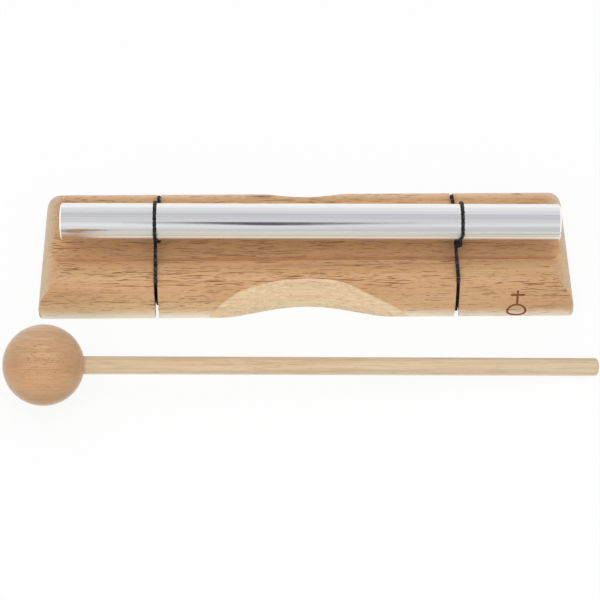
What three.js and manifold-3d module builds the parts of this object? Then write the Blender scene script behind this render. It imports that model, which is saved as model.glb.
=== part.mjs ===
// A chime bar: an aluminium rod held over a wooden base by two elastic cord loops, with its mallet.
// Millimetres, +Z up. The origin is the middle of the base's underside, and the rod runs along X.
import * as THREE from 'three';
import { mergeVertices } from 'three/addons/utils/BufferGeometryUtils.js';
import Module from 'manifold-3d';

const wasm = await Module();
wasm.setup();

// Shared clearances
const SEAT_GAP = 0.3; // between a piece and what it rests on or passes through
const OVERRUN = 2; // how far a cut runs past the surface that it opens

// Base block: a 3/4 inch board, whose sides and ends curve in from the table to the top
const BASE_LENGTH = 232.8;
const BASE_WIDTH = 60;
const BASE_HEIGHT = 19.05;
const SIDE_CURVE_RUN = 5; // how far the curve of a long side leans in
const END_CURVE_RUN = 11.5; // the same at the ends
const BOTTOM_EDGE = 0.8; // height of the upright edge under each curve
const BOTTOM_CHAMFER = 0.4;
const CORNER_ROUND = 3.2;

// Trough along the top, under the rod
const TROUGH_WIDTH = 22.2;
const TROUGH_DEPTH = 2.8;
const TROUGH_OFFSET = -2.8; // towards the front

// Waist: a scoop in the middle of each long side
const WAIST_LENGTH = 83;
const WAIST_DEPTH = 6.2;
const WAIST_END_SHARE = 0.37; // of half the scoop, how far each end runs level
const WAIST_MIDDLE_SHARE = 0.4; // of half the scoop, how far its bottom runs level

// Rod
const ROD_DIAMETER = 16;
const ROD_LENGTH = 216;
const ROD_CHAMFER = 0.9;
const ROD_CENTRE_X = 2;
const ROD_CENTRE_Y = -0.6;
const ROD_TURN = THREE.MathUtils.degToRad(-0.63); // the rod lies a little askew over the base

// Cords, and the saw kerfs that hold them
const CORD_DIAMETER = 1.8;
const KERF_WIDTH = CORD_DIAMETER + 2 * SEAT_GAP;
const FRONT_KERF_INSET = 5.4; // where a kerf starts on the top, in from its long side
const BACK_KERF_INSET = 7.4;
const LEFT_KERF_RUN = 8.4; // where it comes out on the underside
const RIGHT_KERF_RUN = 3.4;
const LEFT_CORD_X = -64.8;
const RIGHT_CORD_X = 65.2;

// Where each cord lies along the rod, from its own kerfs: as it goes under the rod from the
// front, as it comes over the top, and as it leaves under the rod to the back
const LEFT_UNDER_SHIFT = -0.9;
const LEFT_OVER_SHIFT = -0.4;
const LEFT_LEAVE_SHIFT = 1.5;
const RIGHT_UNDER_SHIFT = 0;
const RIGHT_OVER_SHIFT = 2.2;
const RIGHT_LEAVE_SHIFT = 2.3;

// Knot under the base, and the pocket that hides it
const KNOT_LENGTH = 6.4;
const KNOT_WIDTH = 4.6;
const KNOT_HEIGHT = 3.4;
const KNOT_LIFT = 0.5; // keeps cord and knot off the table
const POCKET_MARGIN = 0.8;

// Mallet: a turned ball on a dowel, lying in front of the base
const BALL_DIAMETER = 34;
const HANDLE_DIAMETER = 7.6;
const HANDLE_REACH = 233.8; // from the ball's centre to the far end
const HANDLE_SOCKET = 11; // how deep the handle goes into the ball
const HANDLE_CHAMFER = 1.4;
const SOCKET_FLOOR_GAP = 0.6;
const MALLET_X = -110.1;
const MALLET_Y = -68.6;
const MALLET_TURN = THREE.MathUtils.degToRad(1.82);

// Facet counts
const SIDE_STEPS = 10;
const ROUND_STEPS = 8;
const TROUGH_STEPS = 12;
const WAIST_STEPS = 16;
const ROD_SIDES = 64;
const BALL_SIDES = 44;
const BALL_RINGS = 22;
const HANDLE_SIDES = 36;
const CORD_SIDES = 10;
const TURN_STEPS = 28;
const BEND_STEPS = 4;
const KNOT_SIDES = 16;
const KNOT_RINGS = 10;

// Sizes that follow from those above
const HALF_LENGTH = BASE_LENGTH / 2;
const HALF_WIDTH = BASE_WIDTH / 2;
const CORD_RADIUS = CORD_DIAMETER / 2;
const ROD_RADIUS = ROD_DIAMETER / 2;
const CORD_STANDOFF = SEAT_GAP + CORD_RADIUS; // cord centre above the surface it lies on
const STRAND_HEIGHT = BASE_HEIGHT + CORD_STANDOFF;
const ROD_CENTRE_Z = STRAND_HEIGHT + CORD_STANDOFF + ROD_RADIUS;
const KNOT_CENTRE_Z = KNOT_LIFT + KNOT_HEIGHT / 2;
const UNDER_CORD_Z = KNOT_LIFT + CORD_RADIUS;
const GROOVE_DEPTH = UNDER_CORD_Z + CORD_STANDOFF;
const BALL_RADIUS = BALL_DIAMETER / 2;
const HANDLE_RADIUS = HANDLE_DIAMETER / 2;

// The two cords. Each has a kerf in the front and one in the back.
const LEFT = {
  x: LEFT_CORD_X,
  run: LEFT_KERF_RUN,
  under: LEFT_CORD_X + LEFT_UNDER_SHIFT,
  over: LEFT_CORD_X + LEFT_OVER_SHIFT,
  leave: LEFT_CORD_X + LEFT_LEAVE_SHIFT,
};
const RIGHT = {
  x: RIGHT_CORD_X,
  run: RIGHT_KERF_RUN,
  under: RIGHT_CORD_X + RIGHT_UNDER_SHIFT,
  over: RIGHT_CORD_X + RIGHT_OVER_SHIFT,
  leave: RIGHT_CORD_X + RIGHT_LEAVE_SHIFT,
};

// How far round the rod, as shares of its one turn, the cord has moved from one place to the next
const DRIFT_START_SHARE = 0.05;
const DRIFT_END_SHARE = 0.25;

const WOOD = { color: 0xc79f74, roughness: 0.6, metalness: 0 };
const PALE_WOOD = { color: 0xd9bd96, roughness: 0.55, metalness: 0 };
const ALUMINIUM = { color: 0xd4d6da, roughness: 0.22, metalness: 1 };
const BLACK_CORD = { color: 0x1d1b1d, roughness: 0.8, metalness: 0 };

// Turns a closed geometry into a solid that can be joined and cut
function solidOf(geometry) {
  const plain = geometry.index ? geometry.clone() : geometry;
  plain.deleteAttribute('normal');
  plain.deleteAttribute('uv');
  const merged = mergeVertices(plain);
  return new wasm.Manifold(new wasm.Mesh({
    numProp: 3,
    vertProperties: new Float32Array(merged.attributes.position.array),
    triVerts: new Uint32Array(merged.index.array),
  }));
}

function geometryOf(solid) {
  const mesh = solid.getMesh();
  const geometry = new THREE.BufferGeometry();
  geometry.setAttribute('position', new THREE.BufferAttribute(mesh.vertProperties, 3));
  geometry.setIndex(new THREE.BufferAttribute(mesh.triVerts, 1));
  return geometry;
}

function namedMesh(name, geometry, look) {
  const mesh = new THREE.Mesh(geometry, new THREE.MeshStandardMaterial(look));
  mesh.name = name;
  return mesh;
}

// Extrudes a shape evenly to both sides of a plane.
// 'across' is drawn in Y and Z and runs along X, 'along' in X and Z, and 'plan' in X and Y.
function slab(shape, thickness, plane, curveSegments) {
  const geometry = new THREE.ExtrudeGeometry(shape, { depth: thickness, bevelEnabled: false, curveSegments });
  geometry.translate(0, 0, -thickness / 2);
  const x = new THREE.Vector3(1, 0, 0);
  const y = new THREE.Vector3(0, 1, 0);
  const z = new THREE.Vector3(0, 0, 1);
  const turn = new THREE.Matrix4();
  if (plane === 'across') turn.makeBasis(y, z, x);
  if (plane === 'along') turn.makeBasis(x, z, y.negate());
  return geometry.applyMatrix4(turn);
}

// One side of the base in section, from the underside up to the top: a small chamfer, a short
// upright edge, and a quarter of an ellipse. half is the distance from the middle to the side.
function curvedSide(half, run) {
  const rise = BASE_HEIGHT - BOTTOM_EDGE;
  const points = [new THREE.Vector2(half - BOTTOM_CHAMFER, 0), new THREE.Vector2(half, BOTTOM_CHAMFER)];
  for (let i = 0; i <= SIDE_STEPS; i += 1) {
    const angle = Math.PI / 2 * i / SIDE_STEPS;
    points.push(new THREE.Vector2(half - run + run * Math.cos(angle), BOTTOM_EDGE + rise * Math.sin(angle)));
  }
  return points;
}

function mirrored(points) {
  return points.map((p) => new THREE.Vector2(-p.x, p.y)).reverse();
}

// The base's cross-section, with the trough between its two curved sides
function crossSection() {
  const side = curvedSide(HALF_WIDTH, SIDE_CURVE_RUN);
  const coveRadius = (TROUGH_WIDTH ** 2 / 4 + TROUGH_DEPTH ** 2) / (2 * TROUGH_DEPTH);
  const coveAngle = Math.asin(TROUGH_WIDTH / 2 / coveRadius);
  const trough = [];
  for (let i = 0; i <= TROUGH_STEPS; i += 1) {
    const angle = coveAngle - 2 * coveAngle * i / TROUGH_STEPS;
    trough.push(new THREE.Vector2(
      TROUGH_OFFSET + coveRadius * Math.sin(angle),
      BASE_HEIGHT - TROUGH_DEPTH + coveRadius - coveRadius * Math.cos(angle),
    ));
  }
  return new THREE.Shape([...side, ...trough, ...mirrored(side)]);
}

// The base seen from the front, between its two curved ends
function lengthSection() {
  const end = curvedSide(HALF_LENGTH, END_CURVE_RUN);
  return new THREE.Shape([...end, ...mirrored(end)]);
}

// The base seen from above: small corner rounds, and a soft scoop in each long side
function planOutline() {
  const halfWaist = WAIST_LENGTH / 2;
  const endRun = halfWaist * WAIST_END_SHARE;
  const middleRun = halfWaist * WAIST_MIDDLE_SHARE;
  const shape = new THREE.Shape();
  const corner = (x, y, start) => shape.absarc(x, y, CORNER_ROUND, start, start + Math.PI / 2, false);
  const scoop = (side) => {
    const face = side * HALF_WIDTH;
    const bottom = side * (HALF_WIDTH - WAIST_DEPTH);
    shape.lineTo(side * halfWaist, face);
    shape.bezierCurveTo(side * (halfWaist - endRun), face, side * middleRun, bottom, 0, bottom);
    shape.bezierCurveTo(-side * middleRun, bottom, -side * (halfWaist - endRun), face, -side * halfWaist, face);
  };
  shape.moveTo(-HALF_LENGTH + CORNER_ROUND, -HALF_WIDTH);
  shape.lineTo(-halfWaist, -HALF_WIDTH);
  scoop(-1);
  corner(HALF_LENGTH - CORNER_ROUND, -HALF_WIDTH + CORNER_ROUND, -Math.PI / 2);
  corner(HALF_LENGTH - CORNER_ROUND, HALF_WIDTH - CORNER_ROUND, 0);
  scoop(1);
  corner(-HALF_LENGTH + CORNER_ROUND, HALF_WIDTH - CORNER_ROUND, Math.PI / 2);
  corner(-HALF_LENGTH + CORNER_ROUND, -HALF_WIDTH + CORNER_ROUND, Math.PI);
  return shape;
}

// How far in from its long side a kerf starts on the top; side is -1 at the front, 1 at the back
function kerfInset(side) {
  return side < 0 ? FRONT_KERF_INSET : BACK_KERF_INSET;
}

// One saw kerf, open to the long side, the top and the underside
function kerfCut(cord, side) {
  const top = new THREE.Vector2(kerfInset(side), BASE_HEIGHT);
  const bottom = new THREE.Vector2(cord.run, 0);
  const along = top.clone().sub(bottom).normalize();
  top.addScaledVector(along, OVERRUN);
  bottom.addScaledVector(along, -OVERRUN);
  const place = (inset) => side * (HALF_WIDTH - inset);
  const shape = new THREE.Shape([
    new THREE.Vector2(place(bottom.x), bottom.y),
    new THREE.Vector2(place(top.x), top.y),
    new THREE.Vector2(place(-OVERRUN), top.y),
    new THREE.Vector2(place(-OVERRUN), bottom.y),
  ]);
  return solidOf(slab(shape, KERF_WIDTH, 'across').translate(cord.x, 0, 0));
}

// The groove that the cord takes under the base, with a pocket in its middle for the knot
function undersideCut(cord) {
  const run = BASE_WIDTH - 2 * cord.run + 2 * (GROOVE_DEPTH + OVERRUN); // well into both kerfs
  const groove = new THREE.BoxGeometry(KERF_WIDTH, run, 2 * GROOVE_DEPTH).translate(cord.x, 0, 0);
  const pocketDepth = KNOT_CENTRE_Z + KNOT_HEIGHT / 2 + SEAT_GAP;
  const pocket = new THREE.CylinderGeometry(1, 1, 2 * pocketDepth, 4 * ROUND_STEPS).rotateX(Math.PI / 2);
  pocket.scale(KNOT_WIDTH / 2 + POCKET_MARGIN, KNOT_LENGTH / 2 + POCKET_MARGIN, 1).translate(cord.x, 0, 0);
  return solidOf(groove).add(solidOf(pocket));
}

function makeBase() {
  let block = solidOf(slab(crossSection(), BASE_LENGTH + 2 * OVERRUN, 'across'));
  block = block.intersect(solidOf(slab(lengthSection(), BASE_WIDTH + 2 * OVERRUN, 'along')));
  block = block.intersect(solidOf(slab(planOutline(), 2 * (BASE_HEIGHT + OVERRUN), 'plan', WAIST_STEPS)));
  for (const cord of [LEFT, RIGHT]) {
    block = block.subtract(kerfCut(cord, -1));
    block = block.subtract(kerfCut(cord, 1));
    block = block.subtract(undersideCut(cord));
  }
  return namedMesh('base_block', geometryOf(block), WOOD);
}

// A bar turned about X, centred on the origin, with both ends chamfered
function turnedBar(length, radius, chamfer, sides) {
  const profile = [
    new THREE.Vector2(0, -length / 2),
    new THREE.Vector2(radius - chamfer, -length / 2),
    new THREE.Vector2(radius, -length / 2 + chamfer),
    new THREE.Vector2(radius, length / 2 - chamfer),
    new THREE.Vector2(radius - chamfer, length / 2),
    new THREE.Vector2(0, length / 2),
  ];
  return geometryOf(solidOf(new THREE.LatheGeometry(profile, sides).rotateZ(-Math.PI / 2)));
}

function makeRod() {
  const rod = namedMesh('tone_rod', turnedBar(ROD_LENGTH, ROD_RADIUS, ROD_CHAMFER, ROD_SIDES), ALUMINIUM);
  rod.position.set(ROD_CENTRE_X, ROD_CENTRE_Y, ROD_CENTRE_Z);
  rod.rotation.z = ROD_TURN;
  return rod;
}

// A path whose steps land on the route's own points
class RouteCurve extends THREE.Curve {
  constructor(points) {
    super();
    this.points = points;
  }

  getPoint(t, target = new THREE.Vector3()) {
    const last = this.points.length - 1;
    const at = Math.min(Math.max(t, 0), 1) * last;
    const index = Math.min(Math.floor(at), last - 1);
    return target.lerpVectors(this.points[index], this.points[index + 1], at - index);
  }

  getPointAt(u, target) {
    return this.getPoint(u, target);
  }

  getTangentAt(u, target = new THREE.Vector3()) {
    const last = this.points.length - 1;
    const index = Math.round(Math.min(Math.max(u, 0), 1) * last);
    const before = this.points[Math.max(index - 1, 0)];
    const after = this.points[Math.min(index + 1, last)];
    return target.subVectors(after, before).normalize();
  }
}

// Points on an arc in the plane across the base, from one angle to another
function arcPoints(centreY, centreZ, radius, from, to, steps) {
  const points = [];
  for (let i = 0; i <= steps; i += 1) {
    const angle = from + (to - from) * i / steps;
    points.push([centreY + radius * Math.cos(angle), centreZ + radius * Math.sin(angle)]);
  }
  return points;
}

// Where two lines cross, each given by a point and a direction
function crossing(a, alongA, b, alongB) {
  const t = b.clone().sub(a).cross(alongB) / alongA.cross(alongB);
  return a.clone().addScaledVector(alongA, t);
}

// Rounds each inner corner of a path; corners are { at, radius } and the two ends have no radius
function roundedPath(corners) {
  const points = [corners[0].at];
  for (let i = 1; i < corners.length - 1; i += 1) {
    const { at, radius } = corners[i];
    const back = corners[i - 1].at.clone().sub(at).normalize();
    const ahead = corners[i + 1].at.clone().sub(at).normalize();
    const half = Math.acos(back.dot(ahead)) / 2;
    const centre = back.clone().add(ahead).normalize().multiplyScalar(radius / Math.sin(half)).add(at);
    const start = back.clone().multiplyScalar(radius / Math.tan(half)).add(at).sub(centre);
    const turn = (Math.PI - 2 * half) * Math.sign(ahead.cross(back));
    const steps = Math.ceil(BEND_STEPS * Math.abs(turn) / (Math.PI / 2)) + 1;
    for (let k = 0; k <= steps; k += 1) {
      points.push(start.clone().rotateAround(new THREE.Vector2(), turn * k / steps).add(centre));
    }
  }
  points.push(corners[corners.length - 1].at);
  return points;
}

// The cord from the knot out to the kerf, up through it and in over the top to the rod.
// x is the distance outwards from the base's middle plane, and y is the height.
function sideRun(cord, side, reach) {
  const top = new THREE.Vector2(HALF_WIDTH - kerfInset(side), BASE_HEIGHT);
  const bottom = new THREE.Vector2(HALF_WIDTH - cord.run, 0);
  const kerfWay = top.clone().sub(bottom).normalize();
  const outwards = new THREE.Vector2(kerfWay.y, -kerfWay.x).multiplyScalar(CORD_STANDOFF);
  const kerfLine = bottom.clone().add(outwards);
  const level = new THREE.Vector2(1, 0);
  const knotEnd = new THREE.Vector2(CORD_RADIUS, UNDER_CORD_Z);
  const strandEnd = new THREE.Vector2(reach, STRAND_HEIGHT);
  return roundedPath([
    { at: knotEnd },
    { at: crossing(knotEnd, level, kerfLine, kerfWay), radius: CORD_STANDOFF },
    { at: crossing(kerfLine, kerfWay, strandEnd, level), radius: CORD_STANDOFF },
    { at: strandEnd },
  ]);
}

function rodYAt(x) {
  return ROD_CENTRE_Y + (x - ROD_CENTRE_X) * Math.tan(ROD_TURN);
}

// Where the cord lies along the rod at a share of its turn: it drifts once low behind the rod and
// once low in front of it, so that its two ends pass each other underneath with a gap
function driftAt(cord, share) {
  const behind = THREE.MathUtils.smoothstep(share, DRIFT_START_SHARE, DRIFT_END_SHARE);
  const before = THREE.MathUtils.smoothstep(share, 1 - DRIFT_END_SHARE, 1 - DRIFT_START_SHARE);
  return cord.under + (cord.over - cord.under) * behind + (cord.leave - cord.over) * before;
}

// The whole cord: knot, front kerf, one turn round the rod, back kerf, knot
function cordRoute(cord) {
  const front = sideRun(cord, -1, -rodYAt(cord.under)).map((p) => new THREE.Vector3(cord.x, -p.x, p.y));
  const back = sideRun(cord, 1, rodYAt(cord.leave)).map((p) => new THREE.Vector3(cord.x, p.x, p.y));
  front.pop();
  back.pop();
  const turn = [];
  for (let i = 0; i <= TURN_STEPS; i += 1) {
    const angle = 2 * Math.PI * i / TURN_STEPS - Math.PI / 2;
    const along = driftAt(cord, i / TURN_STEPS);
    const reach = ROD_RADIUS + CORD_STANDOFF;
    turn.push(new THREE.Vector3(
      along,
      rodYAt(along) + reach * Math.cos(angle),
      ROD_CENTRE_Z + reach * Math.sin(angle),
    ));
  }
  return [...front, ...turn, ...back.reverse()];
}

// Least gap between stretches of the cord that pass each other, measured on the route's points
function leastGap(points) {
  let least = Infinity;
  for (let i = 0; i < points.length; i += 1) {
    for (let k = i + TURN_STEPS / 2; k < points.length; k += 1) {
      const isKnot = i === 0 || k === points.length - 1;
      if (!isKnot) least = Math.min(least, points[i].distanceTo(points[k]) - CORD_DIAMETER);
    }
  }
  return least;
}

function makeCord(name, cord) {
  const route = cordRoute(cord);
  console.log(`${name}: least gap to itself ${leastGap(route).toFixed(2)} mm`);
  const ring = new THREE.Shape();
  for (let i = 0; i < CORD_SIDES; i += 1) {
    const angle = 2 * Math.PI * i / CORD_SIDES;
    const at = [CORD_RADIUS * Math.cos(angle), CORD_RADIUS * Math.sin(angle)];
    if (i === 0) ring.moveTo(...at);
    else ring.lineTo(...at);
  }
  ring.closePath();
  const tube = new THREE.ExtrudeGeometry(ring, { steps: route.length - 1, extrudePath: new RouteCurve(route) });
  const knot = new THREE.SphereGeometry(1, KNOT_SIDES, KNOT_RINGS);
  knot.scale(KNOT_WIDTH / 2, KNOT_LENGTH / 2, KNOT_HEIGHT / 2).translate(cord.x, 0, KNOT_CENTRE_Z);
  return namedMesh(name, geometryOf(solidOf(tube).add(solidOf(knot))), BLACK_CORD);
}

// The mallet is drawn along X from the ball's centre, then laid on the table
function makeMallet() {
  const reach = HANDLE_REACH - HANDLE_CHAMFER;
  const toRim = Math.hypot(reach, HANDLE_RADIUS);
  const tilt = Math.asin(BALL_RADIUS / toRim) - Math.atan2(HANDLE_RADIUS, reach);

  const inner = BALL_RADIUS - HANDLE_SOCKET;
  const handle = turnedBar(HANDLE_REACH - inner, HANDLE_RADIUS, HANDLE_CHAMFER, HANDLE_SIDES);
  handle.translate((HANDLE_REACH + inner) / 2, 0, 0);

  const socketLength = HANDLE_SOCKET + SOCKET_FLOOR_GAP + OVERRUN;
  const socketRadius = HANDLE_RADIUS + SEAT_GAP;
  const socket = new THREE.CylinderGeometry(socketRadius, socketRadius, socketLength, HANDLE_SIDES);
  socket.rotateZ(Math.PI / 2).translate(BALL_RADIUS + OVERRUN - socketLength / 2, 0, 0);
  const ball = new THREE.SphereGeometry(BALL_RADIUS, BALL_SIDES, BALL_RINGS).rotateZ(Math.PI / 2);

  const mallet = new THREE.Group();
  mallet.add(namedMesh('mallet_head', geometryOf(solidOf(ball).subtract(solidOf(socket))), PALE_WOOD));
  mallet.add(namedMesh('mallet_handle', handle, PALE_WOOD));
  mallet.position.set(MALLET_X, MALLET_Y, BALL_RADIUS);
  mallet.rotation.order = 'ZYX';
  mallet.rotation.set(0, tilt, MALLET_TURN);
  return mallet;
}

const chimeBar = new THREE.Group();
chimeBar.add(makeBase());
chimeBar.add(makeRod());
chimeBar.add(makeCord('left_cord', LEFT));
chimeBar.add(makeCord('right_cord', RIGHT));
chimeBar.add(makeMallet());

export default chimeBar;
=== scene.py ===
# %% [markdown]
# # A chime bar in Blender
#
# The real object is a solid aluminium rod, held over a wooden base by two black elastic cords,
# with a small ball-headed mallet lying in front. The lesson starts from a finished set of plain
# solids that are already in the right places, and gives each one its fine shape and its finish.

# %% Load the frame
import math

import bmesh
import bpy
from mathutils import Matrix, Vector


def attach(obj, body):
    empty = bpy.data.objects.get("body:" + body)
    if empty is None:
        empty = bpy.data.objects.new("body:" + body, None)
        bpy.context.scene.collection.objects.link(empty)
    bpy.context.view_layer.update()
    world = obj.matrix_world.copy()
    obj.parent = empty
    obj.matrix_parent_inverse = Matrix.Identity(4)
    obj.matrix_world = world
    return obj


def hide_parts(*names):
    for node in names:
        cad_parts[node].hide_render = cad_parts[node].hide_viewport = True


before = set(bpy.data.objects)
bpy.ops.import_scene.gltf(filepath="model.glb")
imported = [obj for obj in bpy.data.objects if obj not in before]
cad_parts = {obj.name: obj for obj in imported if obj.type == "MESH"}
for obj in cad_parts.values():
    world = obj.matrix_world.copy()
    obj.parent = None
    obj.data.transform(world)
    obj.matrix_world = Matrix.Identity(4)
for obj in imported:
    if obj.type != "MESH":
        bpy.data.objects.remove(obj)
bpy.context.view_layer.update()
MM = 0.001
print("solids:", ", ".join(sorted(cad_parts)))

# %% [markdown]
# ## The camera
#
# A camera can be matched to a photograph by hand or worked out from sizes. Here its distance,
# tilt and lens were worked out from the rod's and the base's edges, so they are plain numbers:
# the long lens looks down at about 50 degrees from the front. The camera comes first, because
# every later choice is judged through it.

# %% Camera
VIEW_TILT = math.radians(50)
VIEW_TURN = math.radians(-1.10)
VIEW_ROLL = math.radians(-0.48)
VIEW_DISTANCE = 900.2 * MM
VIEW_TARGET = Vector((-2.65, -19.89, 0)) * MM
FOCAL_PIXELS = 2054.2
FRAME_PIXELS = 600
SENSOR_WIDTH = 36


def camera_axes(tilt, turn, roll):
    """The camera's right, up and forward directions."""
    yaw = Matrix.Rotation(turn, 3, "Z")
    right = yaw @ Vector((1, 0, 0))
    up = yaw @ Vector((0, math.sin(tilt), math.cos(tilt)))
    forward = yaw @ Vector((0, math.cos(tilt), -math.sin(tilt)))
    rolled_right = math.cos(roll) * right - math.sin(roll) * up
    rolled_up = math.sin(roll) * right + math.cos(roll) * up
    return rolled_right, rolled_up, forward


right, up, forward = camera_axes(VIEW_TILT, VIEW_TURN, VIEW_ROLL)
camera_data = bpy.data.cameras.new("camera")
camera_data.sensor_width = SENSOR_WIDTH
camera_data.lens = FOCAL_PIXELS * SENSOR_WIDTH / FRAME_PIXELS
camera = bpy.data.objects.new("camera", camera_data)
bpy.context.scene.collection.objects.link(camera)
place = Matrix((right, up, -forward)).transposed().to_4x4()
place.translation = VIEW_TARGET - forward * VIEW_DISTANCE
camera.matrix_world = place
bpy.context.scene.camera = camera
print("lens", round(camera_data.lens, 1), "mm, camera at", [round(v, 3) for v in place.translation])

# %% [markdown]
# ## Small helpers for making meshes
#
# Most pieces start as an outline pushed along a line, or as rings joined by faces. Blender's
# menus do this by hand with Extrude and Bridge; in code it is shorter to place the points
# directly, so that each size keeps its name.

# %% Mesh helpers
def new_piece(name, points, faces):
    """A mesh object in the scene, in world place."""
    mesh = bpy.data.meshes.new(name)
    mesh.from_pydata([tuple(p) for p in points], [], faces)
    mesh.validate()
    mesh.update()
    piece = bpy.data.objects.new(name, mesh)
    bpy.context.scene.collection.objects.link(piece)
    return piece


def arc(centre, radius, start, end, steps):
    """Points of an arc, from one angle to another in degrees."""
    angles = [math.radians(start + (end - start) * i / steps) for i in range(steps + 1)]
    return [(centre[0] + radius * math.cos(a), centre[1] + radius * math.sin(a)) for a in angles]


def prism(name, outline, to_world, low, high):
    """A closed solid: an outline pushed from low to high; to_world places (u, v, w)."""
    count = len(outline)
    points = [to_world(u, v, low) for u, v in outline] + [to_world(u, v, high) for u, v in outline]
    sides = [(i, (i + 1) % count, count + (i + 1) % count, count + i) for i in range(count)]
    caps = [tuple(reversed(range(count))), tuple(range(count, 2 * count))]
    piece = new_piece(name, points, sides + caps)
    face_outwards(piece)
    return piece


def face_outwards(piece):
    """Turns all faces of a closed mesh to the outside."""
    work = bmesh.new()
    work.from_mesh(piece.data)
    bmesh.ops.recalc_face_normals(work, faces=work.faces)
    work.to_mesh(piece.data)
    work.free()


def apply_modifiers(piece):
    """Keeps the shape that the piece's modifiers give, and drops the modifiers."""
    bpy.context.view_layer.update()
    shaped = piece.evaluated_get(bpy.context.evaluated_depsgraph_get())
    mesh = bpy.data.meshes.new_from_object(shaped)
    piece.modifiers.clear()
    old = piece.data
    piece.data = mesh
    bpy.data.meshes.remove(old)


def carve(piece, tool, operation="DIFFERENCE"):
    """Cuts the piece with a tool solid, and throws the tool away."""
    step = piece.modifiers.new("carve", "BOOLEAN")
    step.object = tool
    step.operation = operation
    step.solver = "EXACT"
    step.material_mode = "TRANSFER"
    apply_modifiers(piece)
    bpy.data.objects.remove(tool)


def smooth(piece, angle=40):
    """Shades smoothly, except over edges sharper than the angle."""
    piece.data.shade_smooth()
    piece.data.set_sharp_from_angle(angle=math.radians(angle))


corner = [(round(x, 2), round(y, 2)) for x, y in arc((0, 0), 1, 0, 90, 2)]
print("a quarter circle of radius 1 in two steps:", corner)

# %% [markdown]
# ## How the wood is painted
#
# Wood is the same all through the board, so its pattern is made in three dimensions and the
# surface only cuts it. Noise stretched along the grain gives streaks on the long faces and fine
# specks on the end grain, with nothing to unwrap. An image texture would be quicker, but it
# would stretch over the rounded edges.
#
# Small node helpers come first, so that each material reads as a short list of steps.

# %% Node helpers
class Nodes:
    """The nodes of a material or of the world, with short names for the ones used here."""

    def __init__(self, owner):
        owner.use_nodes = True
        self.owner = owner
        self.tree = owner.node_tree
        self.shader = self.tree.nodes.get("Principled BSDF")

    def add(self, kind, **settings):
        node = self.tree.nodes.new(kind)
        for key, value in settings.items():
            setattr(node, key, value)
        return node

    def link(self, source, target):
        self.tree.links.new(source, target)

    def set(self, socket, value):
        """A plain number or colour goes on the socket; a node's output is linked."""
        if isinstance(value, bpy.types.NodeSocket):
            self.link(value, socket)
        else:
            socket.default_value = value

    def give(self, name, value):
        """Sets one of the shader's own sockets, such as Roughness."""
        self.set(self.shader.inputs[name], value)

    def position(self):
        return self.add("ShaderNodeTexCoord").outputs["Object"]

    def parts(self, vector):
        """The three parts of a vector, called X, Y and Z."""
        node = self.add("ShaderNodeSeparateXYZ")
        self.link(vector, node.inputs[0])
        return node.outputs

    def math(self, operation, a, b=0.0, clamp=False):
        node = self.add("ShaderNodeMath", operation=operation, use_clamp=clamp)
        self.set(node.inputs[0], a)
        self.set(node.inputs[1], b)
        return node.outputs[0]

    def plus(self, a, b):
        return self.math("ADD", a, b)

    def minus(self, a, b):
        return self.math("SUBTRACT", a, b)

    def times(self, a, b):
        return self.math("MULTIPLY", a, b)

    def larger(self, a, b):
        return self.math("MAXIMUM", a, b)

    def unsigned(self, a):
        return self.math("ABSOLUTE", a)

    def span(self, value, low, high, to_low=0.0, to_high=1.0, soft=True):
        """Maps a value from one range to another, and holds it at the ends."""
        node = self.add("ShaderNodeMapRange")
        node.interpolation_type = "SMOOTHSTEP" if soft else "LINEAR"
        self.set(node.inputs["Value"], value)
        node.inputs["From Min"].default_value = low
        node.inputs["From Max"].default_value = high
        node.inputs["To Min"].default_value = to_low
        node.inputs["To Max"].default_value = to_high
        return node.outputs["Result"]

    def zone(self, value, start, full, amount=1.0):
        """0 where the zone starts, the amount where it is full; both places in millimetres."""
        return self.span(value, start * MM, full * MM, 0.0, amount)

    def blend(self, factor, a, b, mode="MIX"):
        node = self.add("ShaderNodeMix", data_type="RGBA", blend_type=mode)
        self.set(node.inputs["Factor"], factor)
        self.set(node.inputs[6], a)
        self.set(node.inputs[7], b)
        return node.outputs[2]

    def ramp(self, value, stops):
        """Colours along a value from 0 to 1; each stop is a place and a colour."""
        node = self.add("ShaderNodeValToRGB")
        self.link(value, node.inputs[0])
        elements = node.color_ramp.elements
        while len(elements) < len(stops):
            elements.new(0.5)
        for element, (place, tone) in zip(elements, stops):
            element.position = place
            element.color = tone
        return node.outputs[0]

    def bump(self, height, distance):
        """Makes the surface look raised, by a distance in metres, without moving it."""
        node = self.add("ShaderNodeBump")
        self.link(height, node.inputs["Height"])
        node.inputs["Distance"].default_value = distance
        return node.outputs["Normal"]


print("node helpers:", ", ".join(name for name in vars(Nodes) if not name.startswith("_")))

# %% [markdown]
# ## Patterns and colours
#
# A pattern is drawn in the space round the piece. Stretching that space first turns round blobs
# of noise into streaks, and shifting it by another noise lets straight streaks wander. Colours
# are chosen as a screen shows them, from 0 to 255, but a shader reckons in plain amounts of
# light, so one small function translates.

# %% Pattern helpers
def stretched(n, here, scale, turn=(0, 0, 0), shift=(0, 0, 0)):
    node = n.add("ShaderNodeMapping")
    n.link(here, node.inputs["Vector"])
    node.inputs["Scale"].default_value = scale
    node.inputs["Rotation"].default_value = turn
    node.inputs["Location"].default_value = shift
    return node.outputs["Vector"]


def noise(n, here, scale, detail=2.0, roughness=0.5, distortion=0.0):
    """Soft noise; scale is how often it changes in a metre along X, Y and Z."""
    node = n.add("ShaderNodeTexNoise")
    n.link(stretched(n, here, scale), node.inputs["Vector"])
    node.inputs["Scale"].default_value = 1.0
    node.inputs["Detail"].default_value = detail
    node.inputs["Roughness"].default_value = roughness
    node.inputs["Distortion"].default_value = distortion
    return node.outputs["Fac"]


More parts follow.
